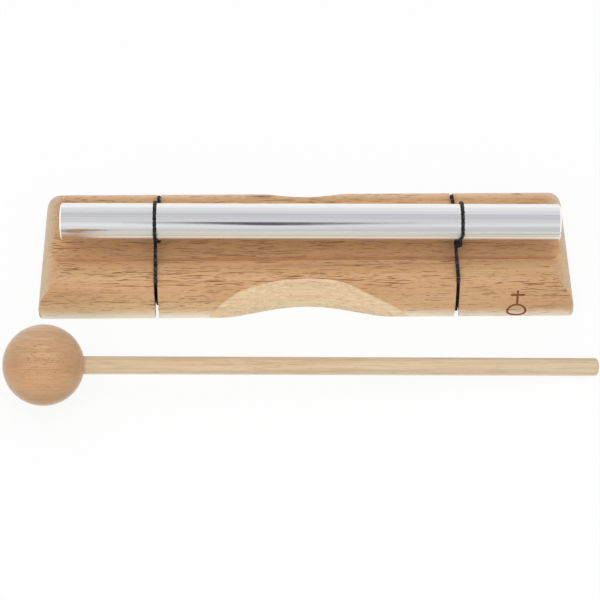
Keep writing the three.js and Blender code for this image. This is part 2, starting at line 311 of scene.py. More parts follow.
def dashes(n, here, scale, width, fade):
    """Short separate strokes: 1 inside one, 0 outside; width is a share of their spacing."""
    node = n.add("ShaderNodeTexVoronoi")
    n.link(stretched(n, here, scale), node.inputs["Vector"])
    node.inputs["Scale"].default_value = 1.0
    return n.span(n.minus(width, node.outputs["Distance"]), -fade, fade)


def wander(n, here, scale, amount):
    """Lets straight lines drift sideways a little, as grain does."""
    node = n.add("ShaderNodeTexNoise")
    n.link(stretched(n, here, scale), node.inputs["Vector"])
    node.inputs["Scale"].default_value = 1.0
    shift = n.add("ShaderNodeVectorMath", operation="MULTIPLY_ADD")
    n.link(node.outputs["Color"], shift.inputs[0])
    shift.inputs[1].default_value = (0, amount, amount)
    n.link(here, shift.inputs[2])
    return shift.outputs["Vector"]


def colour(red, green, blue):
    """A shader colour from 0-255 screen values."""
    def linear(v):
        v /= 255
        return v / 12.92 if v <= 0.04045 else ((v + 0.055) / 1.055) ** 2.4
    return (linear(red), linear(green), linear(blue), 1.0)


def grey(level):
    """A grey that gives back so much of the light, from 0 to 1."""
    return (level, level, level, 1.0)


WHITE = grey(1.0)
print("screen 200, 160, 120 is", [round(c, 3) for c in colour(200, 160, 120)])

# %% [markdown]
# ## The base's wood
#
# The real board is rubberwood: a warm light brown, with straight grain and many short dark
# pores, 2 to 8 mm long. Noise makes its slow bands and fine streaks. Noise can't draw separate
# strokes, though, so the pores are the cells of a Voronoi pattern, pulled long along the grain:
# each cell holds one thin stroke. On surfaces that face along the board the same strokes are cut
# across and become dots, and the colour turns greyer.

# %% Wood recipe
# How often each pattern changes in a metre: along the grain, and twice across it.
BANDS, STREAKS = (4, 150, 110), (20, 1100, 1100)
FIBRES, PATCHES, SPECKS = (160, 4200, 4200), (14, 60, 60), (500, 1000, 1000)
PORE_CROWDS, LONG_PORES, SHORT_PORES = (14, 110, 110), (44, 2000, 2000), (170, 2600, 2600)
# How often the grain wanders in a metre, and by how many metres.
WANDERINGS = (((11, 60, 60), 0.0016), ((45, 130, 130), 0.0012))
# Spans: the pattern's low and high value, and what they give where that isn't 0 and 1.
TONES, FIBRE_TINT, PATCH_TINT = (0.38, 0.62), (0.48, 0.75, 0.0, 0.2), (0.42, 0.62, 0.0, 0.35)
PORE_WIDTHS, SPECK_TINT = (0.36, 0.6, 0.155, 0.265), (0.35, 0.65, 0.4, 1.0)
WOOD_ROUGHNESS, END_TURN = (0.3, 0.7, 0.46, 0.58), (0.3, 0.9)
BAND_SHARE, STREAK_SHARE = 0.45, 0.55
LONG_FADE, SHORT_FADE, SHORT_STRENGTH = 0.03, 0.04, 0.8
STREAK_HEIGHT, WOOD_RELIEF = 0.4, 0.0001
WARM_WHITE = (1.0, 0.95, 0.88, 1.0)
ROSY = colour(255, 243, 240)


def pores(n, here):
    """1 in a pore; they stand close in some places, and apart and thin in others."""
    width = n.span(noise(n, here, PORE_CROWDS), *PORE_WIDTHS)
    long_ones = dashes(n, here, LONG_PORES, width, LONG_FADE)
    short_ones = dashes(n, here, SHORT_PORES, width, SHORT_FADE)
    return n.larger(long_ones, n.times(short_ones, SHORT_STRENGTH))


def make_wood(name, pale, deep, pore, end_tint, seed, pore_amount=1.0, wear_and_painted_light=None, end_amount=0.8,
              bloom=0.12, waver=1.0, fineness=1.0, layers=1.0, layer_turn=0.0):
    """Straight-grained wood; the grain runs along X. The function for wear and painted light, if
    given, takes (n, body) and gives the colour with its fresh places and its painted light and
    shade, and how much of the pores still shows there. bloom is the pale look of bare sanded
    fibres at a glancing view, waver is how far the grain strays sideways, and fineness sets how
    close its streaks are. Below 1, layers makes the streaks into flat layers, and layer_turn
    turns those about the grain."""
    n = Nodes(bpy.data.materials.new(name))
    here = stretched(n, n.position(), (1, 1, 1), (layer_turn, 0, 0), (seed, seed * 0.7, seed * 0.3))
    for often, far in WANDERINGS:
        here = wander(n, here, often, far * waver)
    bands = noise(n, here, (BANDS[0], BANDS[1] * layers, BANDS[2]), detail=3.0, distortion=0.5)
    close = STREAKS[1] * fineness
    n.streaks = noise(n, here, (STREAKS[0], close * layers, close), detail=4.0, roughness=0.65)
    tone = n.plus(n.times(bands, BAND_SHARE), n.times(n.streaks, STREAK_SHARE))
    body = n.blend(n.span(tone, *TONES), deep, pale)
    body = n.blend(n.span(noise(n, here, FIBRES), *FIBRE_TINT), body, deep)
    patches = noise(n, here, PATCHES, detail=1.0)
    body = n.blend(n.span(patches, *PATCH_TINT), body, ROSY, "MULTIPLY")

    holes = n.times(pores(n, here), pore_amount)
    n.facing = n.parts(n.add("ShaderNodeNewGeometry").outputs["Normal"])
    if wear_and_painted_light is not None:
        body, kept = wear_and_painted_light(n, body)
        holes = n.times(holes, kept)
    end_grain = n.span(n.unsigned(n.facing["X"]), *END_TURN)
    specks = noise(n, here, SPECKS, detail=3.0, roughness=0.7)
    end_colour = n.blend(n.span(specks, *SPECK_TINT), deep, end_tint)
    body = n.blend(n.times(end_grain, end_amount), body, end_colour)
    body = n.blend(holes, body, pore)

    n.give("Roughness", n.span(n.streaks, *WOOD_ROUGHNESS))
    n.give("Specular IOR Level", 0.4)
    n.give("Sheen Weight", bloom)
    n.give("Sheen Roughness", 0.35)
    n.give("Sheen Tint", WARM_WHITE)
    relief = n.minus(n.times(n.streaks, STREAK_HEIGHT), holes)
    n.give("Normal", n.bump(relief, WOOD_RELIEF))
    return n, body


def paint(n, body):
    """Ends a material with its colour."""
    n.give("Base Color", body)
    return n.owner


print("wood recipe ready, with pores", round(1000 / LONG_PORES[0]), "and",
      round(1000 / SHORT_PORES[0]), "mm apart along the grain")

# %% [markdown]
# ## The base block
#
# The real base is one board with a shallow trough under the rod and a scoop in each long side
# for the fingers. Its sides and ends aren't upright: they curve in from the table to the top,
# the ends much more than the sides. Three outlines describe it: one across, one along and one
# from above. Each is pushed into a solid, and the board is what all three share, so the curved
# ends and sides meet in the same slanting corner line as on the real one.

# %% Board outlines
BASE_LENGTH, BASE_WIDTH, BASE_HEIGHT = 232.8, 60.0, 19.05
HALF_LENGTH, HALF_WIDTH = BASE_LENGTH / 2, BASE_WIDTH / 2
SIDE_CURVE_RUN, END_CURVE_RUN = 5.0, 11.5
BOTTOM_EDGE, BOTTOM_CHAMFER, CORNER_ROUND = 0.8, 0.4, 3.2
TROUGH_WIDTH, TROUGH_DEPTH, TROUGH_OFFSET = 22.2, 2.8, -2.8
SIDE_STEPS, TROUGH_STEPS, CORNER_STEPS = 36, 40, 12
OVERRUN = 2


def curved_side(half, run):
    """One side in section, from the underside up: chamfer, short upright edge, quarter ellipse."""
    points = [(half - BOTTOM_CHAMFER, 0), (half, BOTTOM_CHAMFER)]
    return points + [(half - run + run * u, BOTTOM_EDGE + (BASE_HEIGHT - BOTTOM_EDGE) * v)
                     for u, v in arc((0, 0), 1, 0, 90, SIDE_STEPS)]


def mirrored(points):
    return [(-u, v) for u, v in reversed(points)]


def trough():
    """The cove between the two flat strips of the top, from right to left."""
    half = TROUGH_WIDTH / 2
    radius = (half ** 2 + TROUGH_DEPTH ** 2) / (2 * TROUGH_DEPTH)
    spread = math.degrees(math.asin(half / radius))
    centre = (TROUGH_OFFSET, BASE_HEIGHT - TROUGH_DEPTH + radius)
    return arc(centre, radius, spread - 90, -spread - 90, TROUGH_STEPS)


across = curved_side(HALF_WIDTH, SIDE_CURVE_RUN)
across += trough() + mirrored(across)
along = curved_side(HALF_LENGTH, END_CURVE_RUN)
along += mirrored(along)
plan = []
for sign_x, sign_y, start in ((1, 1, 0), (-1, 1, 90), (-1, -1, 180), (1, -1, 270)):
    middle = (sign_x * (HALF_LENGTH - CORNER_ROUND), sign_y * (HALF_WIDTH - CORNER_ROUND))
    plan += arc(middle, CORNER_ROUND, start, start + 90, CORNER_STEPS)
print("points across, along, from above:", len(across), len(along), len(plan))

# %% [markdown]
# ## The scoop and the saw kerfs
#
# The scoop is a bell curve: level at both ends, deepest in the middle. It and the kerfs are cut
# after the rounding, as in a workshop. The kerfs are narrower than the cord, which is squeezed
# in them, and that grip is all that holds the rod.

# %% Cutting outlines
WAIST_LENGTH, WAIST_DEPTH = 83.0, 6.2
WAIST_END_SHARE, WAIST_MIDDLE_SHARE = 0.37, 0.4
WAIST_STEPS, POCKET_STEPS = 48, 48
CORD_DIAMETER, SEAT_GAP = 1.8, 0.3
CORD_RADIUS = CORD_DIAMETER / 2
KERF_WIDTH, GROOVE_WIDTH = 1.5, 2.2
FRONT_KERF_INSET, BACK_KERF_INSET = 5.4, 7.4
# Where each cord's kerfs are, how far in they come out below, and where the cord lies along the
# rod: as it goes under from the front, as it comes over, and as it leaves to the back. Low on
# the rod's front side it can hook to the left, and hang slack, by so many millimetres.
CORDS = {
    "left": {"x": -64.8, "run": 8.4, "under": -65.7, "over": -65.2, "leave": -63.3,
             "hook": 0.0, "slack": 0.0},
    "right": {"x": 65.2, "run": 3.4, "under": 65.2, "over": 67.4, "leave": 67.5,
              "hook": 2.0, "slack": 1.4},
}
KNOT_LENGTH, KNOT_WIDTH, KNOT_HEIGHT, KNOT_LIFT = 6.4, 4.6, 3.4, 0.5
POCKET_MARGIN = 0.8
KNOT_CENTRE_Z = KNOT_LIFT + KNOT_HEIGHT / 2
UNDER_CORD_Z = KNOT_LIFT + CORD_RADIUS
STANDOFF = SEAT_GAP + CORD_RADIUS


def bezier(a, b, c, d, steps):
    """Points of one cubic curve, without its last one."""
    points = []
    for i in range(steps):
        t = i / steps
        weights = ((1 - t) ** 3, 3 * t * (1 - t) ** 2, 3 * t * t * (1 - t), t ** 3)
        points.append(tuple(sum(w * p[k] for w, p in zip(weights, (a, b, c, d))) for k in (0, 1)))
    return points


def scoop_outline(side):
    """The wood taken from one long side, seen from above."""
    half = WAIST_LENGTH / 2
    face, bottom = HALF_WIDTH, HALF_WIDTH - WAIST_DEPTH
    level, middle = half * (1 - WAIST_END_SHARE), half * WAIST_MIDDLE_SHARE
    curve = bezier((-half, face), (-level, face), (-middle, bottom), (0, bottom), WAIST_STEPS)
    curve += bezier((0, bottom), (middle, bottom), (level, face), (half, face), WAIST_STEPS)
    curve += [(half, face), (half, face + OVERRUN), (-half, face + OVERRUN)]
    return [(u, side * v) for u, v in curve]


def kerf_inset(side):
    return FRONT_KERF_INSET if side < 0 else BACK_KERF_INSET


def kerf_outline(run, side):
    """One slanting kerf, seen along the board."""
    top, bottom = Vector((kerf_inset(side), BASE_HEIGHT)), Vector((run, 0))
    way = (top - bottom).normalized()
    top += way * OVERRUN
    bottom -= way * OVERRUN
    corners = [bottom, top, Vector((-OVERRUN, top.y)), Vector((-OVERRUN, bottom.y))]
    return [(side * (HALF_WIDTH - p.x), p.y) for p in corners]


print("kerfs", KERF_WIDTH, "mm wide, for a cord of", CORD_DIAMETER, "mm")

# %% [markdown]
# ## Fresh cut and old outside
#
# The outside and the scoop's fresh cut share one material. It knows where the board's old curved
# side would be, and is pale where the surface lies behind it. A sander also takes the finish off
# a little beyond the cut, more at one end than at the other, so the pale crescent has its own
# upper line too.

# %% Fresh cut
SANDED_TOP = 19.4
SANDED_LEFT, LEFT_POWER = 43.0, 4.0
SANDED_RIGHT, RIGHT_POWER = 46.0, 2.3
# Zones, here and below: where each starts, where it is full, both in millimetres, and how
# strong it is there if that isn't 1. A lean goes by how much the surface faces one way, 0 to 1.
BETWEEN_ENDS, BELOW_LINE, BEHIND_SIDE = (SANDED_RIGHT, 40), (-0.5, 0.9), (0.3, 0.9)
UPRIGHT_LEAN = (0.75, 0.3)


def sanded(n, place):
    """1 below the crescent's upper line, which falls from the middle to both ends."""
    def fall(way, half, power):
        out = n.math("MULTIPLY", place["X"], way / (half * MM), clamp=True)
        return n.math("POWER", out, power)
    left, right = fall(-1, SANDED_LEFT, LEFT_POWER), fall(1, SANDED_RIGHT, RIGHT_POWER)
    top = n.minus(1.0, n.larger(left, right))
    under = n.minus(n.times(top, SANDED_TOP * MM), place["Z"])
    return n.times(n.zone(under, *BELOW_LINE), n.zone(n.unsigned(place["X"]), *BETWEEN_ENDS))


def fresh_cut(n, place):
    """0 on the old outside, 1 where the scoop has gone behind it or the sander has been."""
    above_edge = n.minus(place["Z"], BOTTOM_EDGE * MM)
    rise = n.math("DIVIDE", above_edge, (BASE_HEIGHT - BOTTOM_EDGE) * MM, clamp=True)
    curve = n.math("SQRT", n.minus(1.0, n.times(rise, rise)))
    side = n.plus(n.times(curve, SIDE_CURVE_RUN * MM), (HALF_WIDTH - SIDE_CURVE_RUN) * MM)
    depth = n.minus(side, n.unsigned(place["Y"]))
    upright = n.span(n.unsigned(n.facing["Z"]), *UPRIGHT_LEAN)
    return n.times(n.larger(n.zone(depth, *BEHIND_SIDE), sanded(n, place)), upright)


print("the scoop's pale crescent reaches", SANDED_LEFT, "mm left and", SANDED_RIGHT, "mm right")

# %% [markdown]
# ## Painted light and shade on the board
#
# The rest of the board isn't one even colour either, and most of it is painted light and shade.
# Painted light lifts the trough, and painted shade darkens its front wall, which faces away from
# the light, and the top beside it. The ends are darker, the back edge has a painted highlight,
# the left part of each side gets a band of painted light, and the lowest edge is painted very
# pale as painted light. Each of these is a zone with soft ends, laid over the wood one after the
# other. The insides of the kerfs, the groove and the pocket are painted darker, as shade in
# narrow recesses, and have a finish of their own.

# %% Board finishes
BASE_PALE, BASE_DEEP = colour(208, 168, 125), colour(193, 151, 107)
BASE_PORE, BASE_END = colour(128, 70, 28), colour(208, 187, 157)
BASE_SEED = 0.37
CUT_DEEP, CUT_PALE = colour(221, 195, 157), colour(241, 217, 180)
# Painted light lifts the trough under the rod; painted shade darkens the trough's front wall.
TROUGH_PAINTED_LIGHT_TINT, TROUGH_WALL_SHADE_TINT = colour(226, 170, 112), colour(222, 198, 172)
# Darker ends, painted shade beside the trough, and a painted highlight on the back edge.
DARKER_ENDS_AND_SHADE_TINT, BACK_EDGE_PAINTED_HIGHLIGHT = colour(236, 230, 226), colour(238, 222, 202)
# Painted light on the left of each side and on the lowest edge.
SIDE_PAINTED_LIGHT_TINT, LOW_EDGE_PAINTED_LIGHT_TINT = colour(236, 206, 158), colour(236, 228, 206)
# Painted shade: the insides of the kerfs, the groove and the pocket are painted dark.
SAWN_SHADE_PALE, SAWN_SHADE_DEEP = colour(150, 108, 74), colour(110, 74, 46)
SAWN_SHADE_PORE, SAWN_SHADE_END = colour(80, 50, 30), colour(130, 92, 60)
IN_TROUGH, ON_TOP = (TROUGH_WIDTH / 2 + 0.1, TROUGH_WIDTH / 2 - 0.5), (14, 15)
TROUGH_WALL_SHADE_LEAN = (0.2, 0.44)
BACK_EDGE, NEAR_END, TROUGH_SIDE_SHADE = (22.5, 28, 0.65), (74, 112, 0.5), (18, 12, 0.5)
SIDE_LIGHT_ABOVE, SIDE_LIGHT_BELOW, SIDE_LIGHT_LEFT = (11, 8.5), (1.5, 5), (45, -70, 0.38)
LOW_EDGE, LOW_EDGE_TO_RIGHT = (7.0, 0.4), (30 * MM, 80 * MM, 1.0, 0.8)
FRESH_TONES, FRESH_STRENGTH, TROUGH_PAINTED_LIGHT_STRENGTH = (0.35, 0.65), 0.85, 0.3
# How much of the low edge the fresh cut hides, and how much of the pores each of the two hides.
CUT_OVER_EDGE, CUT_OVER_PORES, EDGE_OVER_PORES = 0.8, 0.55, 0.9


def top_painted_light_and_shade(n, place, body):
    """Painted light in the trough, painted shade on its front wall and beside it, a painted highlight on
    the back edge, and darker ends.
    """
    on_top = n.zone(place["Z"], *ON_TOP)
    from_middle = n.unsigned(n.minus(place["Y"], TROUGH_OFFSET * MM))
    in_trough = n.times(n.zone(from_middle, *IN_TROUGH), on_top)
    # Painted light: the trough under the rod is painted lighter and richer.
    body = n.blend(n.times(in_trough, TROUGH_PAINTED_LIGHT_STRENGTH), body, TROUGH_PAINTED_LIGHT_TINT)
    # Painted shade on the trough's front wall, which faces back, away from the light.
    trough_wall_shade = n.times(in_trough, n.span(n.facing["Y"], *TROUGH_WALL_SHADE_LEAN))
    body = n.blend(trough_wall_shade, body, TROUGH_WALL_SHADE_TINT, "MULTIPLY")
    # Painted highlight: the back edge of the top is painted pale.
    body = n.blend(n.times(n.zone(place["Y"], *BACK_EDGE), on_top), body, BACK_EDGE_PAINTED_HIGHLIGHT)
    # The ends are darker, and painted shade darkens the top beside the trough, under the rod.
    near_end = n.zone(n.unsigned(place["X"]), *NEAR_END)
    trough_side_shade = n.times(n.zone(from_middle, *TROUGH_SIDE_SHADE), on_top)
    return n.blend(n.larger(near_end, trough_side_shade), body, DARKER_ENDS_AND_SHADE_TINT, "MULTIPLY")


def side_painted_light(n, place):
    """A band of painted light along each side, strongest at the left and gone at the right."""
    band = n.times(n.zone(place["Z"], *SIDE_LIGHT_ABOVE), n.zone(place["Z"], *SIDE_LIGHT_BELOW))
    return n.times(band, n.zone(place["X"], *SIDE_LIGHT_LEFT))


def board_wear_and_painted_light(n, body):
    """The colour with its fresh cut and its painted light and shade, and how much of the pores shows
    there.
    """
    place = n.parts(n.position())
    fresh = fresh_cut(n, place)
    fresh_colour = n.blend(n.span(n.streaks, *FRESH_TONES), CUT_DEEP, CUT_PALE)
    body = n.blend(n.times(fresh, FRESH_STRENGTH), body, fresh_colour)
    body = top_painted_light_and_shade(n, place, body)
    # Painted light on the side's band, left off the fresh cut.
    side_light = n.times(side_painted_light(n, place), n.minus(1.0, fresh))
    body = n.blend(side_light, body, SIDE_PAINTED_LIGHT_TINT)
    # Painted light: the lowest edge is painted very pale, less so towards the right.
    low = n.times(n.zone(place["Z"], *LOW_EDGE), n.span(place["X"], *LOW_EDGE_TO_RIGHT))
    low = n.times(low, n.minus(1.0, n.times(fresh, CUT_OVER_EDGE)))
    paled = n.larger(n.times(fresh, CUT_OVER_PORES), n.times(low, EDGE_OVER_PORES))
    return n.blend(low, body, LOW_EDGE_PAINTED_LIGHT_TINT), n.minus(1.0, paled)


base_outside = paint(*make_wood("base_wood_outside", BASE_PALE, BASE_DEEP, BASE_PORE, BASE_END,
                                BASE_SEED, wear_and_painted_light=board_wear_and_painted_light))
# Painted shade for the kerfs, the groove and the pocket.
base_sawn_painted_shade = paint(*make_wood("base_wood_sawn_painted_shade", SAWN_SHADE_PALE, SAWN_SHADE_DEEP, SAWN_SHADE_PORE, SAWN_SHADE_END,
                             BASE_SEED, pore_amount=0.6))
print("finishes:", base_outside.name, base_sawn_painted_shade.name)

# %% [markdown]
# ## Cutting the board
#
# The order is that of a workshop: the blank, its curved ends, its corners, the scoops, and last
# the kerfs with the groove and the knot's pocket underneath. The exact solver is slower than the
# fast one, but it doesn't tear where curved faces meet.

# %% Cut the board
def over(centre_x):
    """Places an outline across the board, pushed along it from a place on its length."""
    return lambda u, v, w: Vector((centre_x + w, u, v)) * MM


def from_front(u, v, w):
    return Vector((u, -w, v)) * MM


def from_above(u, v, w):
    return Vector((u, v, w)) * MM


def finished(piece, material):
    piece.data.materials.append(material)
    return piece


def cord_cuts(cord):
    """The solids that clear the way for one cord: two kerfs, the groove and the pocket."""
    at_cord = over(cord["x"])
    for side in (-1, 1):
        yield prism("kerf", kerf_outline(cord["run"], side), at_cord, -KERF_WIDTH / 2, KERF_WIDTH / 2)
    depth = UNDER_CORD_Z + STANDOFF
    reach = HALF_WIDTH - cord["run"] + depth + OVERRUN
    run = [(-reach, -depth), (reach, -depth), (reach, depth), (-reach, depth)]
    yield prism("groove", run, at_cord, -GROOVE_WIDTH / 2, GROOVE_WIDTH / 2)
    ring = [(cord["x"] + u * (KNOT_WIDTH / 2 + POCKET_MARGIN), v * (KNOT_LENGTH / 2 + POCKET_MARGIN))
            for u, v in arc((0, 0), 1, 0, 360 - 360 / POCKET_STEPS, POCKET_STEPS - 1)]
    yield prism("pocket", ring, from_above, -OVERRUN, KNOT_CENTRE_Z + KNOT_HEIGHT / 2 + SEAT_GAP)


past_end, past_side, past_top = HALF_LENGTH + OVERRUN, HALF_WIDTH + OVERRUN, BASE_HEIGHT + OVERRUN
board = finished(prism("base_wood", across, over(0), -past_end, past_end), base_outside)
ends = prism("ends", along, from_front, -past_side, past_side)
corners = prism("corners", plan, from_above, -OVERRUN, past_top)
for shared in (ends, corners):
    carve(board, finished(shared, base_outside), "INTERSECT")
for side in (-1, 1):
    scoop = prism("scoop", scoop_outline(side), from_above, -OVERRUN, past_top)
    carve(board, finished(scoop, base_outside))
for cord in CORDS.values():
    for cut in cord_cuts(cord):
        carve(board, finished(cut, base_sawn_painted_shade))
print("board:", len(board.data.vertices), "points,", [m.name for m in board.data.materials])

# %% [markdown]
# ## Softening the board's edges
#
# No sanded edge is truly sharp, and a sharp one looks drawn. A very small bevel on every edge
# that turns by more than 35 degrees catches the light, as the rim of the trough does on the
# real board.

# %% Soften and place the board
ARRIS, ARRIS_STEPS, SHARP_ANGLE = 0.3, 2, 35


def soften(piece, width):
    """Bevels every edge that turns by more than SHARP_ANGLE degrees."""
    step = piece.modifiers.new("soften", "BEVEL")
    step.width = width * MM
    step.segments = ARRIS_STEPS
    step.limit_method = "ANGLE"
    step.angle_limit = math.radians(SHARP_ANGLE)
    step.harden_normals = False
    step.use_clamp_overlap = True
    apply_modifiers(piece)


soften(board, ARRIS)
smooth(board, angle=32)
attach(board, "base")
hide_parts("base_block")
print("board after softening:", len(board.data.vertices), "points")

# %% [markdown]
# ## The rod
#
# A chime rod is sawn from drawn aluminium bar, its ends chamfered and polished. It is turned
# here as a lathe would: one outline swept round the axis. Most of the light bands on it aren't
# painted: they are the room's, so they come from the world further down. Fine drawing lines
# along the metal blur them sideways.

# %% Turned pieces
ROD_DIAMETER, ROD_LENGTH, ROD_CHAMFER = 16.0, 216.0, 0.6
ROD_CENTRE_X, ROD_CENTRE_Y = 2.0, -0.6
ROD_TURN = math.radians(-0.63)
ROD_SIDES, ROD_RINGS = 192, (-80, -40, 0, 40, 80)
STRAND_Z = BASE_HEIGHT + STANDOFF
ROD_CENTRE_Z = STRAND_Z + STANDOFF + ROD_DIAMETER / 2
EDGE_EASE, EASE_IN_SHARE, EASE_OUT_SHARE = 0.12, 0.35, 0.5


def turned(name, profile, sides):
    """A solid turned about X; the profile's (along, radius) points start and end on the axis."""
    points = [Vector((profile[0][0], 0, 0)) * MM]
    for x, radius in profile[1:-1]:
        for i in range(sides):
            a = 2 * math.pi * i / sides
            points.append(Vector((x, radius * math.cos(a), radius * math.sin(a))) * MM)
    points.append(Vector((profile[-1][0], 0, 0)) * MM)
    rings = len(profile) - 2
    last = len(points) - 1
    faces = [(0, 1 + (i + 1) % sides, 1 + i) for i in range(sides)]
    for r in range(rings - 1):
        for i in range(sides):
            a, b = 1 + r * sides + i, 1 + r * sides + (i + 1) % sides
            faces.append((a, b, b + sides, a + sides))
    faces += [(last, last - sides + i, last - sides + (i + 1) % sides) for i in range(sides)]
    piece = new_piece(name, points, faces)
    face_outwards(piece)
    return piece


def eased_end(end, radius, chamfer):
    """A chamfered end from the axis outwards, with its two edges broken; end is signed."""
    way = 1 if end > 0 else -1
    flat = radius - chamfer
    ease_in, ease_out = EDGE_EASE * EASE_IN_SHARE, EDGE_EASE * EASE_OUT_SHARE
    return [(end, 0), (end, flat / 2), (end, flat - EDGE_EASE),
            (end - way * ease_in, flat + ease_out),
            (end - way * (chamfer - ease_out), radius - ease_in),
            (end - way * (chamfer + EDGE_EASE), radius)]


half_rod, rod_radius = ROD_LENGTH / 2, ROD_DIAMETER / 2
rod_profile = eased_end(-half_rod, rod_radius, ROD_CHAMFER)
rod_profile += [(x, rod_radius) for x in ROD_RINGS]
rod_profile += reversed(eased_end(half_rod, rod_radius, ROD_CHAMFER))
rod = turned("polished_rod", rod_profile, ROD_SIDES)
rod.matrix_world = (Matrix.Translation(Vector((ROD_CENTRE_X, ROD_CENTRE_Y, ROD_CENTRE_Z)) * MM)
                    @ Matrix.Rotation(ROD_TURN, 4, "Z"))
print("rod:", len(rod.data.vertices), "points, centre at height", round(ROD_CENTRE_Z, 2), "mm")

# %% [markdown]
# ## Polished above, satin below
#
# The rod's upper side is polished and mirrors the room. Low in front it is satin, and at the left
# end the polish runs lower, so the wood shows in it there. A buffing wheel does this by itself,
# because it never reaches under the bar's widest place. The satin band's colours are painted: a
# painted highlight as a pale line, and painted reflections of the wood round it. The finish also
# holds a painted highlight as a pale band high on the far side and on the chamfers, and a painted
# reflection as a thin grey line that grows towards the right end.

# %% Rod metal
# How the surface faces, from -1 to 1: where each zone starts, and where it is full.
SATIN_FROM_ABOVE, SATIN_FROM_BELOW, SATIN_IN_FRONT = (0.36, 0.26), (-0.38, -0.24), (0.15, -0.1)
BROW_FROM_TOP, BROW_FROM_BACK, BROW_ABOVE = (0.40, 0.52), (0.92, 0.80), (0.0, 0.2)
# Where the painted reflection line lies, and how soft its edges are.
REFLECTION_LINE_LEAN, REFLECTION_LINE_EDGE = 0.15, (0.05, 0.015)
# Places along the rod.
SATIN_LEFT_END, REFLECTION_LINE_TO_RIGHT = (-103 * MM, -86 * MM, 0.12, 1.0), (25, 100, 0.5)
# The satin band's painted highlight and painted reflections, one colour for each lean.
SATIN_PAINTED_LIGHT_TONES = ((-0.34, (180, 160, 138)), (-0.22, (222, 205, 185)), (-0.13, (255, 252, 242)),
               (-0.06, (255, 248, 235)), (0.0, (200, 196, 186)), (0.06, (218, 218, 210)),
               (0.32, (206, 209, 205)))
METAL_DARK, METAL_LIGHT = colour(228, 229, 232), colour(240, 240, 241)
# Painted highlight colour of the brow and chamfers, and painted reflection colour of the grey line.
BROW_PAINTED_HIGHLIGHT, REFLECTION_LINE_TONE = colour(255, 252, 246), colour(126, 140, 140)
DRAWING_LINES, HAZE = (3, 1500, 1500), (40, 60, 60)
LINE_TONES, LINE_ROUGHNESS, HAZE_ROUGHNESS = (0.35, 0.65), (0.3, 0.7, 0.06, 0.11), (0.35, 0.65, 0.0, 0.03)
SATIN_STRENGTH, SATIN_DULLS, SATIN_ROUGHNESS = 0.92, 0.9, 0.35
METAL_SHEEN, METAL_SHEEN_ROUGHNESS, DRAWING_RELIEF = 0.3, 0.2, 0.000008


def satin_front(n, facing, place):
    """1 low in front, and little of it at the left end."""
    band = n.times(n.span(facing["Z"], *SATIN_FROM_ABOVE), n.span(facing["Z"], *SATIN_FROM_BELOW))
    front = n.times(band, n.span(facing["Y"], *SATIN_IN_FRONT))
    return n.times(front, n.span(place["X"], *SATIN_LEFT_END))


def painted_highlight_brow(n, facing, place):
    """1 on a painted highlight band high on the far side, and on the chamfers."""
    highlight_brow = n.times(n.span(facing["Y"], *BROW_FROM_TOP), n.span(facing["Y"], *BROW_FROM_BACK))
    highlight_brow = n.times(highlight_brow, n.span(facing["Z"], *BROW_ABOVE))
    from_end = n.minus(ROD_LENGTH / 2 * MM, n.unsigned(place["X"]))
    return n.larger(highlight_brow, n.zone(from_end, ROD_CHAMFER * 1.2, ROD_CHAMFER))


def painted_reflection_line(n, facing, place):
    """A painted reflection: a thin grey line along the rod, stronger towards the right."""
    off_line = n.unsigned(n.minus(facing["Z"], REFLECTION_LINE_LEAN))
    return n.times(n.span(off_line, *REFLECTION_LINE_EDGE), n.zone(place["X"], *REFLECTION_LINE_TO_RIGHT))


def drawn_aluminium():
    n = Nodes(bpy.data.materials.new("drawn_aluminium"))
    here = n.position()
    lines = noise(n, here, DRAWING_LINES, detail=3.0, roughness=0.6)
    haze = noise(n, here, HAZE, detail=3.0)
    facing, place = n.parts(n.add("ShaderNodeTexCoord").outputs["Normal"]), n.parts(here)
    # Painted highlight on the brow and the chamfers.
    highlight_brow = painted_highlight_brow(n, facing, place)
    satin_and_painted_light = n.times(n.larger(satin_front(n, facing, place), highlight_brow), SATIN_STRENGTH)
    # The satin band's colours are painted: a highlight line and reflections of the wood.
    satin_painted_light_stops = [(lean + 0.5, colour(*tone)) for lean, tone in SATIN_PAINTED_LIGHT_TONES]
    satin_painted_light = n.ramp(n.span(facing["Z"], -0.5, 0.5, soft=False), satin_painted_light_stops)

    metal = n.blend(n.span(lines, *LINE_TONES), METAL_DARK, METAL_LIGHT)
    tone = n.blend(satin_and_painted_light, metal, n.blend(highlight_brow, satin_painted_light, BROW_PAINTED_HIGHLIGHT))
    n.give("Metallic", n.minus(1.0, n.times(satin_and_painted_light, SATIN_DULLS)))
    rough = n.plus(n.span(lines, *LINE_ROUGHNESS), n.span(haze, *HAZE_ROUGHNESS))
    n.give("Roughness", n.plus(rough, n.times(satin_and_painted_light, SATIN_ROUGHNESS)))
    n.give("Sheen Weight", METAL_SHEEN)
    n.give("Sheen Roughness", METAL_SHEEN_ROUGHNESS)
    n.give("Normal", n.bump(lines, DRAWING_RELIEF))
    # Painted reflection: the thin grey line is laid over the rest.
    return paint(n, n.blend(painted_reflection_line(n, facing, place), tone, REFLECTION_LINE_TONE))


finished(rod, drawn_aluminium())
smooth(rod, angle=20)
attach(rod, "rod")
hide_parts("tone_rod")
print("rod finish:", rod.data.materials[0].name)

# %% [markdown]
# ## The path of each cord
#
# Each cord starts at its knot under the board, comes up through the front kerf, goes in over
# the top to the rod, once round it, and back down the other side. It lies on something all the
# way, so its path is worked out from the board and the rod: straight runs joined by small arcs.
# Where it is pulled tight round the rod, it lies close and is a little flattened.

# %% Lines and rounded corners
PRESSED_SHARE, PRESSED_GAP = 0.68, 0.12
PRESSED_STANDOFF = CORD_RADIUS * PRESSED_SHARE + PRESSED_GAP
PATH_STEP = 0.28


